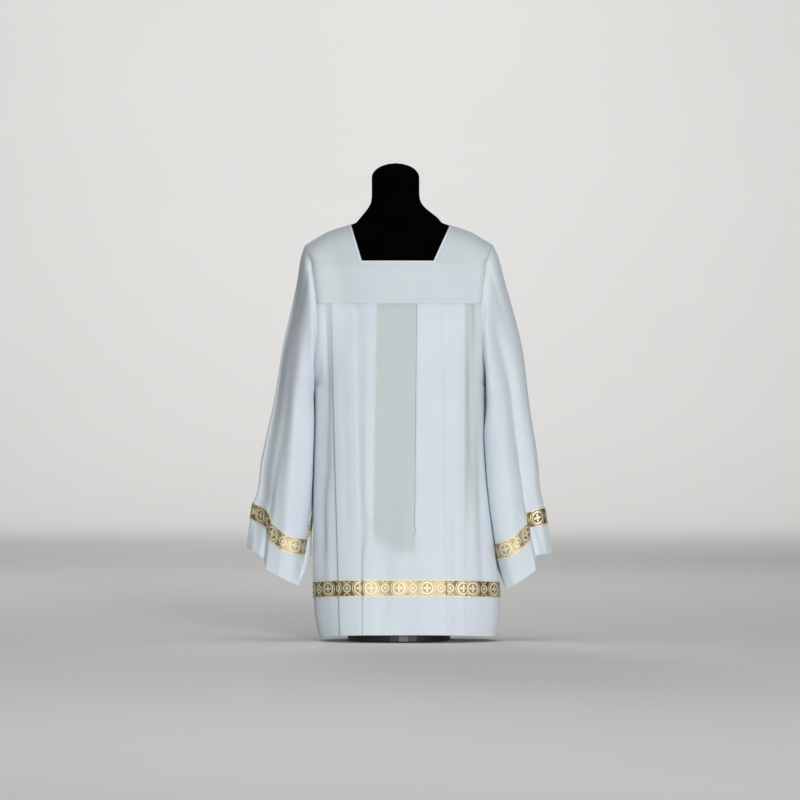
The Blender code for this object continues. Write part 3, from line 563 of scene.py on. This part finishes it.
def armhole_loop(side):
    """The armhole as a closed ring, with each point's turn from the tip of the shoulder."""
    line = armhole_line(side)
    length = lengths_along(line)
    places = np.linspace(0, length[-1], SLEEVE_COLUMNS // 2 + 1)
    front = sample(places, length, line)
    half = places / length[-1] * pi
    loop = np.concatenate((front, front[-2:0:-1] * (1, -1, 1)))
    turns = np.concatenate((half, tau - half[-2:0:-1]))
    inward = unit((loop.mean(axis=0) - loop) * (0, 1, 1))
    laps = ease(loop[:, 2], HEAD_FROM_Z, HEAD_FULL_Z)
    loop += inward * (ARM_SEAM - (ARM_SEAM + HEAD_OUT) * laps)[:, None]
    loop[:, 0] += SIDE_SIGN[side] * (ARM_SEAM - (ARM_SEAM + HEAD_LAP) * laps)
    return loop, turns


def line_point(table, along):
    """A point of a sleeve's outline, by its share of the height."""
    z = table["z"][0] + (table["z"][-1] - table["z"][0]) * along
    return np.array([read(table, "x", z), 0, z])


def sleeve_fold(side, along, degrees):
    """The share by which a sleeve's long folds draw its wall to the middle."""
    place = curve_through(SLEEVE_SHAPE["along"], FOLD_PLACE[side], along)
    depth, width = (read(SLEEVE_SHAPE, key, along) for key in ("fold", "depth"))
    front = bell(degrees, place, FOLD_SPREAD)
    return depth / width * (front + BACK_FOLD * bell(360 - degrees, place, FOLD_SPREAD))


def sleeve_creases(side, along, degrees):
    """How far a sleeve's small creases and the roll of its head move its wall out."""
    depth = 0
    for turn_top, top, turn_low, low, width, height in SLEEVE_CREASES[side] + BACK_CREASES:
        share = (along - top) / (low - top)
        turn = turn_top + (turn_low - turn_top) * share
        depth += height * fade_ends(share) * bell(degrees, turn, width)
    sewn = ease(along, 0, SEWN_FADE)
    roll = sewn * ease(along, *ROLL_END)
    roll = roll * ease(min(degrees, 360 - degrees), *ROLL_TURNS)
    return depth * sewn + HEAD_ROLL * roll


def clear_of_body(side, point, along):
    """The point, moved clear of the body's side below the band."""
    x, y, z = point
    if z >= PLEAT_TOP_Z or along <= 0:
        return point
    sign = SIDE_SIGN[side]
    body = body_curve(round(z * 1000), 1).points
    edge = body[body[:, 0] * sign > abs(body[:, 0]).max() / 2]
    order = np.argsort(edge[:, 1])
    least = np.interp(abs(y), edge[order, 1], edge[order, 0] * sign)
    least += ARM_SEAM + (SLEEVE_CLEAR - ARM_SEAM) * ease(along, 0, CLEAR_BY)
    least += SIDE_WAVE * ease(z, UNDERARM_Z, HEM_Z)
    return np.array([sign * max(x * sign, least), y, z])


def plain_ring(side, along, angle):
    """A point of a sleeve's section without its folds, and the section's middle."""
    outer, inner = (line_point(table[side], along) for table in (SLEEVE_OUTER, SLEEVE_INNER))
    middle = (outer + inner) / 2
    ring = middle + (outer - inner) / 2 * cos(angle)
    depth = read(SLEEVE_SHAPE, "depth", along)
    return ring - np.array([0, depth, 0]) * sin(angle), middle


def cuff_point(side, angle):
    """A point of the cuff's edge; behind, it has the same folds as in front."""
    degrees = float(np.degrees(angle))
    table = CUFF[side]
    turn = min(degrees, 360 - degrees)
    x, y, z = (float(np.interp(turn, table["turn"], table[axis])) for axis in "xyz")
    return np.array([x, -y if degrees > 180 else y, z])


def sleeve_wrap(along, degrees):
    """How far a sleeve reaches round the body's side."""
    reach = read(SLEEVE_SHAPE, "wrap", along)
    reach *= sum(bell(turn, WRAP_PLACE, WRAP_SPREAD) for turn in (degrees, 360 - degrees))
    lap = read(LAP_ROUND, "reach", along) * (LAP_FRONT if degrees < 180 else 1)
    return reach + lap * bell(min(degrees, 360 - degrees), LAP_PLACE, LAP_SPREAD)


def sleeve_point(side, loop, turns, column, along):
    """A point of the sleeve: column round it from the outer line, along from the armhole."""
    angle = turns[column]
    degrees = float(np.degrees(angle))
    ring, middle = plain_ring(side, along, angle)
    folded = cuff_point(side, angle) - plain_ring(side, 1, angle)[0]
    ring = ring + folded * ease(along, CUFF_FOLD_FROM, 1)
    hung = loop[column] - (loop[0] + loop[len(loop) // 2]) / 2 + middle
    point = hung + (ring - hung) * ease(along, 0, HANG_BY)
    to_middle = middle - point
    point = point + sleeve_fold(side, along, degrees) * to_middle
    fade = ease(along, *FALL_FADE[:2]) * ease(along, *FALL_FADE[2:])
    for turn, spread_top, spread_low, share in FALL_BACK[side]:
        spread = spread_top + (spread_low - spread_top) * min(along / FALL_SPREAD_BY, 1)
        point[1] *= 1 - share * fade * bell(degrees, turn, spread)
    out = sleeve_creases(side, along, degrees)
    point = point - out * to_middle / np.linalg.norm(to_middle)
    point[0] -= SIDE_SIGN[side] * sleeve_wrap(along, degrees)
    return clear_of_body(side, point, along)


def sleeve_rows(side, places):
    """Rows of a sleeve, by shares of its length and distances above those."""
    loop, turns = armhole_loop(side)

    def row(alongs):
        return [sleeve_point(side, loop, turns, c, along) for c, along in enumerate(alongs)]

    ends, starts = (row(np.full(len(loop), along)) for along in (1, 0))
    lengths = np.linalg.norm(np.subtract(ends, starts), axis=1)
    return np.array([row(share * (1 - distance / lengths)) for share, distance in places])


def grid_normals(grid, closed):
    """Unit normals of a grid of points."""
    along = np.gradient(grid, axis=1)
    if closed:
        along = np.roll(grid, -1, axis=1) - np.roll(grid, 1, axis=1)
    return unit(np.cross(along, np.gradient(grid, axis=0)))


def flat_places(grid):
    """Each point's place on the flat cloth: distance along its row, distance down."""
    across = np.cumsum(step_lengths(grid, 1), axis=1).mean(axis=0)
    down = np.concatenate((np.zeros((1, grid.shape[1])), np.cumsum(step_lengths(grid), axis=0)))
    across = np.broadcast_to(np.concatenate(([0], across)), down.shape)
    return np.stack([across, down], axis=2)


def grid_size(grid, closed):
    """Width and length of a piece, measured over its surface."""
    if closed:
        grid = np.concatenate((grid, grid[:, :1]), axis=1)
    width, length = (step_lengths(grid, axis).sum(axis=axis).mean() for axis in (1, 0))
    return (round(float(width), 3), round(float(length), 3))


def grid_area(grid):
    """Area of a closed grid, measured over its surface."""
    across = np.roll(grid, -1, axis=1) - grid
    return float(np.linalg.norm(np.cross(across[:-1], np.diff(grid, axis=0)), axis=2).sum())


def add_object(name, data):
    """A new object in the scene."""
    item = bpy.data.objects.new(name, data)
    bpy.context.scene.collection.objects.link(item)
    return item


def smooth_mesh(name, work):
    """A mesh of the faces, shaded smooth."""
    mesh = bpy.data.meshes.new(name)
    work.to_mesh(mesh)
    work.free()
    mesh.shade_smooth()
    return mesh


def add_piece(name, mesh, look, replaced=None):
    """A piece, which rides on the only body."""
    material, slot = look
    mesh.materials.append(material)
    piece = add_object(name, mesh)
    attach(piece, "root")
    if replaced:
        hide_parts(replaced)
    return piece


def add_wall(name, look, outer, inner, replaced, closed=False, flat=None, shade=0):
    """A piece of cloth, as a wall between two grids of points. flat is its cut, which is measured
    where it isn't given; it is not used. shade is a shading value for all of it or for each point."""
    rows, columns = outer.shape[:2]
    measured = inner if look == GOLD else outer
    weave = flat_places(measured)
    girth = weave[0, -1, 0] + weave[0, 1, 0] - weave[0, 0, 0]
    shades = np.broadcast_to(shade, (rows, columns))
    work = bmesh.new()
    flat_layer = work.loops.layers.uv.new("weave")
    shade_layer = work.verts.layers.float.new("shade")

    def corner(grid, r, c):
        made = work.verts.new(grid[r, c])
        made[shade_layer] = float(shades[r, c])
        return made

    sides = [[[corner(grid, r, c) for c in range(columns)] for r in range(rows)]
             for grid in (outer, inner)]

    def add(*spots):
        face = work.faces.new([sides[s][r][c % columns] for s, r, c in spots])
        for loop, (_, r, c) in zip(face.loops, spots):
            loop[flat_layer].uv = weave[r, c % columns] + (girth * (c == columns), 0)

    spans = columns if closed else columns - 1
    for s in (0, 1):
        for r in range(rows - 1):
            for c in range(spans):
                add((s, r, c), (s, r, c + 1), (s, r + 1, c + 1), (s, r + 1, c))
    for r in (0, rows - 1):
        for c in range(spans):
            add((0, r, c), (0, r, c + 1), (1, r, c + 1), (1, r, c))
    for c in () if closed else (0, columns - 1):
        for r in range(rows - 1):
            add((0, r, c), (0, r + 1, c), (1, r + 1, c), (1, r, c))
    bmesh.ops.recalc_face_normals(work, faces=work.faces)
    mesh = smooth_mesh(name, work)
    mesh.set_sharp_from_angle(angle=radians(SHARP_FROM))
    add_piece(name, mesh, look, replaced)
    flat or grid_size(measured, closed)


class Shader:
    """Writes a material's nodes."""

    def __init__(self, name):
        self.material = bpy.data.materials.new(name)
        self.material.use_nodes = True
        self.nodes = self.material.node_tree.nodes
        self.world = self.node("ShaderNodeTexCoord").outputs["Object"]

    def feed(self, made, inputs):
        """Sets a node's inputs, or links them."""
        for key, value in inputs.items():
            if isinstance(value, bpy.types.NodeSocket):
                self.material.node_tree.links.new(value, made.inputs[key])
            else:
                made.inputs[key].default_value = value

    def node(self, kind, inputs=None, **settings):
        """A new node."""
        made = self.nodes.new(kind)
        for key, value in settings.items():
            setattr(made, key, value)
        self.feed(made, inputs or {})
        return made

    def math(self, operation, *values):
        """The result of one sum."""
        values = dict(enumerate(values))
        return self.node("ShaderNodeMath", values, operation=operation).outputs[0]

    def noise(self, scale, detail, roughness=0.5, vector=None):
        """A noise's value."""
        return self.node("ShaderNodeTexNoise", {
            "Vector": vector or self.world, "Scale": scale, "Detail": detail,
            "Roughness": roughness}).outputs["Fac"]

    def ramp(self, value, low, high, out_low=0, out_high=1):
        """A value moved from one range to another."""
        return self.node("ShaderNodeMapRange", {
            "Value": value, "From Min": low, "From Max": high,
            "To Min": out_low, "To Max": out_high}).outputs["Result"]

    def mix(self, share, first, second):
        """A mix of two colours."""
        inputs = {0: share, 6: first, 7: second}
        return self.node("ShaderNodeMix", inputs, data_type="RGBA").outputs[2]

    def bump(self, height, strength, distance, **more):
        """A bumped normal."""
        inputs = {"Height": height, "Strength": strength, "Distance": distance, **more}
        return self.node("ShaderNodeBump", inputs).outputs["Normal"]

    def flat_axes(self):
        """The place on the flat cloth, in metres, and its two parts."""
        place = self.node("ShaderNodeUVMap", uv_map="weave").outputs["UV"]
        parts = self.node("ShaderNodeSeparateXYZ", {"Vector": place}).outputs
        return place, parts["X"], parts["Y"]

    def threads(self, *lengths):
        """Threads over and under each other, by distance and pitch each way."""
        over, under = (self.math("SINE", self.math("MULTIPLY", length, tau / pitch))
                       for length, pitch in lengths)
        return self.math("MULTIPLY", over, under)

    def paint(self, colour, rough, **more):
        """Sets the surface and gives the material."""
        more = {key.replace("_", " "): value for key, value in more.items()}
        self.feed(self.nodes["Principled BSDF"],
                  {"Base Color": colour, "Roughness": rough, **more})
        return self.material


def cloth_material(name):
    """Fine white plain weave with a low sheen, greyer where one layer lies over the form."""
    shader = Shader(name)
    place, across, down = shader.flat_axes()
    shade = shader.node("ShaderNodeAttribute", attribute_name="shade").outputs["Fac"]
    drift = shader.noise(9, 2)
    drawn = shader.node("ShaderNodeMapping", {"Vector": place, "Scale": SLUB_SCALE})
    slub = shader.noise(1, 2, vector=drawn.outputs["Vector"])
    tone = shader.mix(shader.ramp(drift, 0.35, 0.65), WHITE, WHITE_DULL)
    tone = shader.mix(shader.ramp(slub, 0.45, 0.8, 0, 0.25), tone, WHITE_SLUB)
    weave = shader.threads((across, THREAD_PITCH), (down, THREAD_PITCH))
    ripple = shader.bump(shader.noise(38, 3), 0.22, 0.0016)
    return shader.paint(
        shader.mix(shade, tone, SEEN_THROUGH), shader.ramp(slub, 0.3, 0.7, 0.58, 0.70),
        Sheen_Weight=0.18, Sheen_Roughness=0.45, Specular_IOR_Level=0.32,
        Normal=shader.bump(weave, 0.30, 0.00008, Normal=ripple))


def braid_material(name):
    """Woven metal braid: large rings round a star, small rings round petals, arcs between them
    and corded edges. Lengths are shares of the braid's width."""
    shader = Shader(name)
    calc, ramp = shader.math, shader.ramp
    _, across, down = shader.flat_axes()
    repeat = calc("DIVIDE", across, BRAID_REPEAT)

    def local(shift):
        share = calc("FRACT", calc("ADD", repeat, shift))
        return calc("MULTIPLY", calc("SUBTRACT", share, 0.5), BRAID_REPEAT / BRAID_WIDTH)

    v = calc("SUBTRACT", calc("DIVIDE", down, BRAID_WIDTH), 0.5)
    lift = calc("ABSOLUTE", v)

    def radius(x, y):
        return calc("SQRT", calc("ADD", calc("MULTIPLY", x, x), calc("MULTIPLY", y, y)))

    def line(value, middle, width):
        away = calc("ABSOLUTE", calc("SUBTRACT", value, middle))
        return ramp(away, width * LINE_EDGE[0], width * LINE_EDGE[1], 1, 0)

    def lobes(x, middle, turns, least, most):
        wave = calc("ABSOLUTE", calc(turns, calc("MULTIPLY", calc("ARCTAN2", v, x), 2)))
        edge = calc("MULTIPLY_ADD", wave, most - least, least)
        return ramp(calc("SUBTRACT", middle, edge), -LOBE_EDGE, LOBE_EDGE, 1, 0)

    large, small = local(0), local(0.5)
    from_large, from_small = radius(large, v), radius(small, v)
    shape = line(from_large, 0.345, 0.115)
    parts = (
        lobes(large, from_large, "COSINE", 0.050, 0.245),
        line(from_large, 0.485, 0.045),
        line(from_small, 0.215, 0.080),
        lobes(small, from_small, "SINE", 0.035, 0.135),
        line(radius(small, calc("SUBTRACT", lift, 0.50)), 0.200, 0.045),
        line(radius(large, calc("SUBTRACT", lift, 0.56)), 0.105, 0.040),
        ramp(lift, 0.440, 0.452),
    )
    for part in parts:
        shape = calc("MAXIMUM", shape, part)
    threads = shader.threads((across, GOLD_PITCH[0]), (down, GOLD_PITCH[1]))
    glint = shader.noise(260, 2, 0.7)
    # Painted light: the braid's ground is painted paler in bands, by distance from the middle,
    # where the key light catches it (the middle of the skirt and the fronts of the cuffs), mixed
    # with random patches
    sideways = shader.node("ShaderNodeSeparateXYZ", {"Vector": shader.world}).outputs["X"]
    away = calc("ABSOLUTE", sideways)
    outer = calc("MINIMUM", ramp(away, 0.215, 0.235), ramp(away, 0.305, 0.285))
    lit = calc("MAXIMUM", ramp(away, 0.115, 0.080), outer)
    patchy = ramp(shader.noise(21, 1), 0.40, 0.60, -0.25, 0.45)
    pale_share = ramp(calc("MULTIPLY_ADD", lit, 0.75, patchy), 0, 1)
    gold = shader.mix(ramp(glint, 0.35, 0.7), GOLD_DEEP, GOLD_LIGHT)
    ground = shader.mix(ramp(threads, -0.4, 0.9, 0, 0.5), GROUND_DEEP, GROUND_LIGHT)
    ground = shader.mix(pale_share, ground, GROUND_LIGHT)
    return shader.paint(
        shader.mix(shape, ground, gold), ramp(glint, 0.3, 0.7, 0.34, 0.52),
        Metallic=ramp(shape, 0, 1, 0.80, 0.45), Specular_IOR_Level=0.5,
        Normal=shader.bump(threads, 0.4, 0.00015, Normal=shader.bump(shape, 0.6, 0.0004)))


def thread_material(name, light, dark):
    """Twisted sewing thread."""
    shader = Shader(name)
    twist = shader.noise(900, 1)
    return shader.paint(shader.mix(twist, light, dark), shader.ramp(twist, 0.3, 0.7, 0.45, 0.6),
                        Normal=shader.bump(twist, 0.5, 0.0001))


def form_material(name):
    """Black knitted cover, dull, with a faint rib."""
    shader = Shader(name)
    nap = shader.noise(700, 3)
    tone = shader.mix(shader.ramp(shader.noise(14, 2), 0.3, 0.7), *KNIT[:2])
    tone = shader.mix(shader.ramp(nap, 0.5, 0.9, 0, 0.5), tone, KNIT[2])
    return shader.paint(tone, shader.ramp(nap, 0.3, 0.7, 0.85, 0.98), Specular_IOR_Level=0.02,
                        Normal=shader.bump(nap, 0.3, 0.0003))


def stand_material(name):
    """Black enamel with a fine orange-peel surface."""
    shader = Shader(name)
    pale_share = shader.noise(22, 4, 0.7)
    return shader.paint(
        shader.mix(shader.ramp(pale_share, 0.5, 0.8), *ENAMEL), shader.ramp(pale_share, 0.3, 0.7, 0.34, 0.48),
        Normal=shader.bump(shader.noise(420, 2), 0.15, 0.0004))


def floor_material(name):
    """A pale matt studio floor."""
    shader = Shader(name)
    return shader.paint(shader.mix(shader.noise(0.8, 2), *FLOOR), 0.9)


def seen_through(grid, face):
    """How much of the form shows through a panel at each point."""
    def softly(x, edge, sign):
        return ease(x, edge - sign * SEEN_EDGE, edge + sign * SEEN_EDGE)

    values = []
    for row in grid:
        z = float(row[:, 2].mean())
        places = [pleat_place(p, z) for p in facing_pleats(face)]
        x = row[:, 0]
        middle = softly(x, places[2], 1) * softly(x, places[3], -1)
        side = softly(x, places[5], 1) if face < 0 else softly(x, places[0], -1)
        side = side * ease(np.abs(x), *SIDE_SEEN_X) * ease(z, *SIDE_SEEN_Z)
        low = SEEN_FROM_Z + SEEN_SLANT * ease(x * face, 0, SEEN_SLANT_X)
        middle = middle * ease(z - low, 0, SEEN_FADE)
        values.append(np.maximum(middle, side * SIDE_SEEN))
    return np.array(values)


def build_panels():
    """Front and back: pleated skirt, its braid, and the band above it."""
    skirt = np.concatenate((panel_rows(PLEAT_TOP_Z - SEAM, UNDERARM_Z),
                            panel_rows(UNDERARM_Z, HEM_Z)[1:]))
    near = CLOTH / 2 + BRAID_GAP
    for label, face, band, node in (("front", -1, "chest_cloth", "chest_band"),
                                    ("back", 1, "back_band_cloth", "back_band")):
        for name, look, replaced, heights, far, close in (
                (label + "_cloth", WHITE_CLOTH, label + "_panel", skirt, CLOTH / 2, -CLOTH / 2),
                ("woven_braid_" + label, GOLD, "hem_braid_" + label,
                 np.linspace(*BRAID_Z, BRAID_ROWS), near + BRAID, near)):
            paths = panel_paths(heights, face)
            outer, inner = (panel_layer(paths, heights, face, out) for out in (far, close))
            width = float(step_lengths(paths, 1).sum(axis=1).mean())
            flat = (round(width, 3), round(float(heights[0] - heights[-1]), 3))
            shade = seen_through(outer, face) if look == WHITE_CLOTH else 0
            add_wall(name, look, outer, inner, replaced, flat=flat, shade=shade)
        outer, inner = (band_layer(face, out) for out in (CLOTH / 2, -CLOTH / 2))
        add_wall(band, WHITE_CLOTH, outer, inner, node, shade=BAND_SEEN)


def build_shoulders():
    """The two shoulder pieces, which rest on the form."""
    turns = np.linspace(0, pi, YOKE_ROWS)
    shares = np.linspace(0, 1, YOKE_COLUMNS)
    for side, sign in SIDE_SIGN.items():
        outer = np.array([[yoke_point(side, share, turn) for share in shares] for turn in turns])
        inner = outer - grid_normals(outer, False) * CLOTH * sign
        add_wall("shoulder_cloth_" + side, WHITE_CLOTH, outer, inner, "shoulder_" + side,
                 shade=SHOULDER_SEEN)


def build_sleeves():
    """The wide sleeves, open at the armhole and the cuff, and the braid round their cuffs."""
    rows = [(share, 0) for share in np.linspace(0, 1, SLEEVE_ROWS)]
    steps = [(1, distance) for distance in np.linspace(*CUFF_BRAID, BRAID_ROWS)]
    for side, sign in SIDE_SIGN.items():
        outer = sleeve_rows(side, rows)
        inner = outer - grid_normals(outer, True) * CLOTH * sign
        add_wall("sleeve_cloth_" + side, WHITE_CLOTH, outer, inner, "sleeve_" + side, True)
        grid_area(outer)
        braid = sleeve_rows(side, steps)
        normals = grid_normals(braid, True) * sign
        far, near = (braid + normals * out for out in (BRAID_GAP + BRAID, BRAID_GAP))
        add_wall("woven_braid_cuff_" + side, GOLD, far, near, "sleeve_braid_" + side, True)


def binding_edges():
    """The seam edge and the free edge of the strip round the neck, as closed rings."""
    height = shoulder_height(abs(NECK_EDGE["left"][1])) - YOKE_SEAM_Z
    corner = asin(min(1, (BINDING / height) ** (YOKE_ROUND / 2)))
    curve = body_curve(round(YOKE_SEAM_Z * 1000), 1).points.T

    def straight(start, end):
        steps = []
        for share in np.linspace(0, 1, BINDING_POINTS)[1:-1]:
            x, y, z = (a + (b - a) * share for a, b in zip(start, end))
            steps.append((x, y * np.interp(x, *curve) / np.interp(start[0], *curve), z))
        return steps

    edges = []
    for low, inset in ((0, SEAM), (corner, BINDING)):
        turns = np.linspace(low, pi - low, BINDING_TURNS)
        left, right = (
            [(x, y, max(z, YOKE_SEAM_Z + SEAM))
             for x, y, z in (yoke_point(side, 0, turn, -inset) for turn in order)]
            for side, order in (("left", turns), ("right", turns[::-1])))
        edges.append(left + straight(left[-1], right[0]) + right + straight(right[-1], left[0]))
    return np.array(edges)


def build_binding():
    """The narrow finished edge round the square neck, slightly rounded. Gives the line of its
    stitches and that line's normals."""
    seam_edge, free_edge = binding_edges()
    shares = np.linspace(0, 1, BINDING_ROWS)[:, None, None]
    outer = seam_edge * (1 - shares) + free_edge * shares
    normals = grid_normals(outer, True)
    inner = outer + normals * CLOTH
    outer = outer - normals * (np.sin(shares * pi) * BINDING_CROWN)
    flat = (grid_size(outer, True)[0], STRIP_WIDTH)
    add_wall("neck_edge", WHITE_CLOTH, outer, inner, "neck_binding", True, flat)
    return outer[2], -normals[2]


def build_form():
    """The torso, shoulders and neck with a rounded cap, with finer rings."""
    rings = [(*ring, 0, TORSO_SQUARE) for ring in zip(*TORSO.values())]
    drop = (CLOTH + REST) * SHOULDER_SLANT
    rings += [(float(shoulder_height(x)) - drop, x, depth, 0, SHOULDER_SQUARE)
              for x, depth in zip(SHOULDER_STATIONS, SHOULDER_DEPTHS)]
    rings += [(z, width, min(width, NECK["width"][4]), lean, SHOULDER_SQUARE)
              for z, width, lean in zip(*NECK.values())]
    shares = np.linspace(0, len(rings) - 1, RING_STEPS * (len(rings) - 1) + 1)
    order = np.arange(len(rings))
    work = bmesh.new()
    loops = []
    for z, width, depth, lean, square in zip(*(curve_through(order, row, shares)
                                               for row in zip(*rings))):
        loops.append([work.verts.new((
            lean + width * signed_power(cos(angle), 2 / square),
            depth * signed_power(sin(angle), 2 / square), z))
            for angle in (tau * k / FORM_POINTS for k in range(FORM_POINTS))])
    for lower, upper in zip(loops, loops[1:]):
        for k in range(FORM_POINTS):
            m = (k + 1) % FORM_POINTS
            work.faces.new((lower[k], lower[m], upper[m], upper[k]))
    work.faces.new(loops[0])
    top = work.verts.new((NECK["lean"][-1], 0, NECK_TOP_Z))
    for k in range(FORM_POINTS):
        work.faces.new((loops[-1][k], loops[-1][(k + 1) % FORM_POINTS], top))
    bmesh.ops.recalc_face_normals(work, faces=work.faces)
    look = (form_material("black_knit"), "black_form")
    add_piece("form_cover", smooth_mesh("form_cover", work), look, "form_torso")


def shown(points):
    """Which points of a row no other part of it covers."""
    across, out = points[:, 0], points[:, 1]
    near = np.abs(across[:, None] - across[None, :]) < SHOWN_NEAR
    covered = near & (out[None, :] > out[:, None] + CLOTH)
    return ~covered.any(axis=1)


def stitch_row(work, line, normals, free=None):
    """Stitches along a line, each a short thread that dips into the cloth."""
    length, space, radius = STITCH
    places = lengths_along(line)
    free = np.ones(len(line)) if free is None else free
    for start in np.arange(space, places[-1] - length, length + space):
        at = start + length * np.linspace(0, 1, len(STITCH_SWELL))
        if np.interp(at, places, free).min() < 1:
            continue
        spine = sample(at, places, line)
        up = unit(sample(at, places, normals))
        side = unit(np.cross(spine[-1] - spine[0], up))
        rings = []
        for k, swell in enumerate(STITCH_SWELL):
            middle = spine[k] + up[k] * radius * (swell - STITCH_DEPTH)
            rings.append([
                work.verts.new(middle + (up[k] * sin(a) + side[k] * cos(a))
                               * radius * swell) for a in np.arange(5) * tau / 5])
        for one, two in zip(rings, rings[1:]):
            for k in range(5):
                work.faces.new((one[k], one[k - 1], two[k - 1], two[k]))
        work.faces.new(rings[0])
        work.faces.new(rings[-1][::-1])


def panel_stitches(work, z, face, distance):
    """Stitches across a pleated panel at one height."""
    path = panel_paths([z], face)
    line, proud = (panel_layer(path, [z], face, out)[0] for out in (distance, distance + CLOTH))
    stitch_row(work, line, proud - line, shown(path[0]).astype(float))


def sleeve_stitches(work, side, distance, out):
    """Stitches round a sleeve at a distance above its cuff."""
    grid = sleeve_rows(side, [(1, distance + step) for step in (0.003, 0, -0.003)])
    normals = grid_normals(grid, True)[1] * SIDE_SIGN[side]
    line = grid[1] + normals * out
    stitch_row(work, *(np.concatenate((item, item[:1])) for item in (line, normals)))


def build_stitches(binding_line):
    """The sewing: rows of white stitches at the folds and bands, gold ones at the braid."""
    white, gold = bmesh.new(), bmesh.new()
    on_cloth = CLOTH / 2
    for face in (-1, 1):
        panel_stitches(white, HEM_Z + HEM_FOLD, face, on_cloth)
        for z in (BRAID_Z[0] - STITCH_IN, BRAID_Z[1] + STITCH_IN):
            panel_stitches(gold, z, face, CLOTH / 2 + BRAID_GAP + BRAID)
        for z in (PLEAT_TOP_Z - LAP + STITCH_IN, YOKE_SEAM_Z - STITCH_IN):
            line, proud = (band_layer(face, out, [z])[0] for out in (on_cloth, on_cloth + CLOTH))
            stitch_row(white, line, proud - line)
    for side in SIDE_SIGN:
        sleeve_stitches(white, side, CUFF_FOLD, 0)
        for distance in (CUFF_BRAID[0] - STITCH_IN, CUFF_BRAID[1] + STITCH_IN):
            sleeve_stitches(gold, side, distance, BRAID_GAP + BRAID)
    stitch_row(white, *binding_line)
    for name, work, slot, light, dark in (
            ("stitches_white", white, "white_cloth", WHITE_SLUB, WHITE_DULL),
            ("stitches_gold", gold, "gold_braid", GOLD_LIGHT, GOLD_DEEP)):
        look = (thread_material(name + "_thread", light, dark), slot)
        add_piece(name, smooth_mesh(name, work), look)


def build_studio():
    """A pale floor that curves up into a backdrop, soft lights and the camera."""
    turns = np.linspace(0, pi / 2, BEND_POINTS)
    profile = [(-FLOOR_REACH, 0)]
    profile += [(BACKDROP_Y + BEND * sin(t), BEND * (1 - cos(t))) for t in turns]
    profile.append((BACKDROP_Y + BEND, BACKDROP_TOP))
    work = bmesh.new()
    left, right = ([work.verts.new((x, y, z)) for y, z in profile]
                   for x in (-FLOOR_REACH, FLOOR_REACH))
    for k in range(len(profile) - 1):
        work.faces.new((left[k], right[k], right[k + 1], left[k + 1]))
    mesh = smooth_mesh("studio_floor", work)
    mesh.materials.append(floor_material("pale_floor"))
    add_object("studio_floor", mesh)
    world = bpy.data.worlds.new("studio")
    bpy.context.scene.world = world
    world.use_nodes = True
    sky = world.node_tree.nodes["Background"].inputs
    sky["Color"].default_value = SKY
    sky["Strength"].default_value = SKY_STRENGTH
    for name, place, target, size, power, spread, colour in LIGHTS:
        data = bpy.data.lights.new(name, "AREA")
        data.size = size
        data.energy = power
        data.spread = radians(spread)
        data.color = colour
        light = add_object(name, data)
        light.location = place
        light.visible_camera = False
        x, y, z = np.subtract(target, light.location)
        light.rotation_euler = (pi / 2 + atan2(z, hypot(x, y)), 0,
                                atan2(y, x) - pi / 2)
    data = bpy.data.cameras.new("camera")
    data.sensor_width = SENSOR
    data.lens = SENSOR * CAMERA_DISTANCE / (PICTURE_SIZE * PIXEL)
    camera = add_object("camera", data)
    camera.location = (PICTURE_CENTRE[0], -CAMERA_DISTANCE, PICTURE_CENTRE[1])
    camera.rotation_euler = (pi / 2, 0, 0)
    bpy.context.scene.camera = camera
    bpy.context.scene.view_settings.view_transform = "Standard"


WHITE_CLOTH = (cloth_material("white_weave"), "white_cloth")
GOLD = (braid_material("gold_weave"), "gold_braid")
build_panels()
build_shoulders()
build_sleeves()
binding_line = build_binding()
build_form()
enamel = stand_material("black_enamel")
for node in ("form_post", "form_base"):
    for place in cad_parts[node].material_slots:
        place.material = enamel
build_stitches(binding_line)
build_studio()
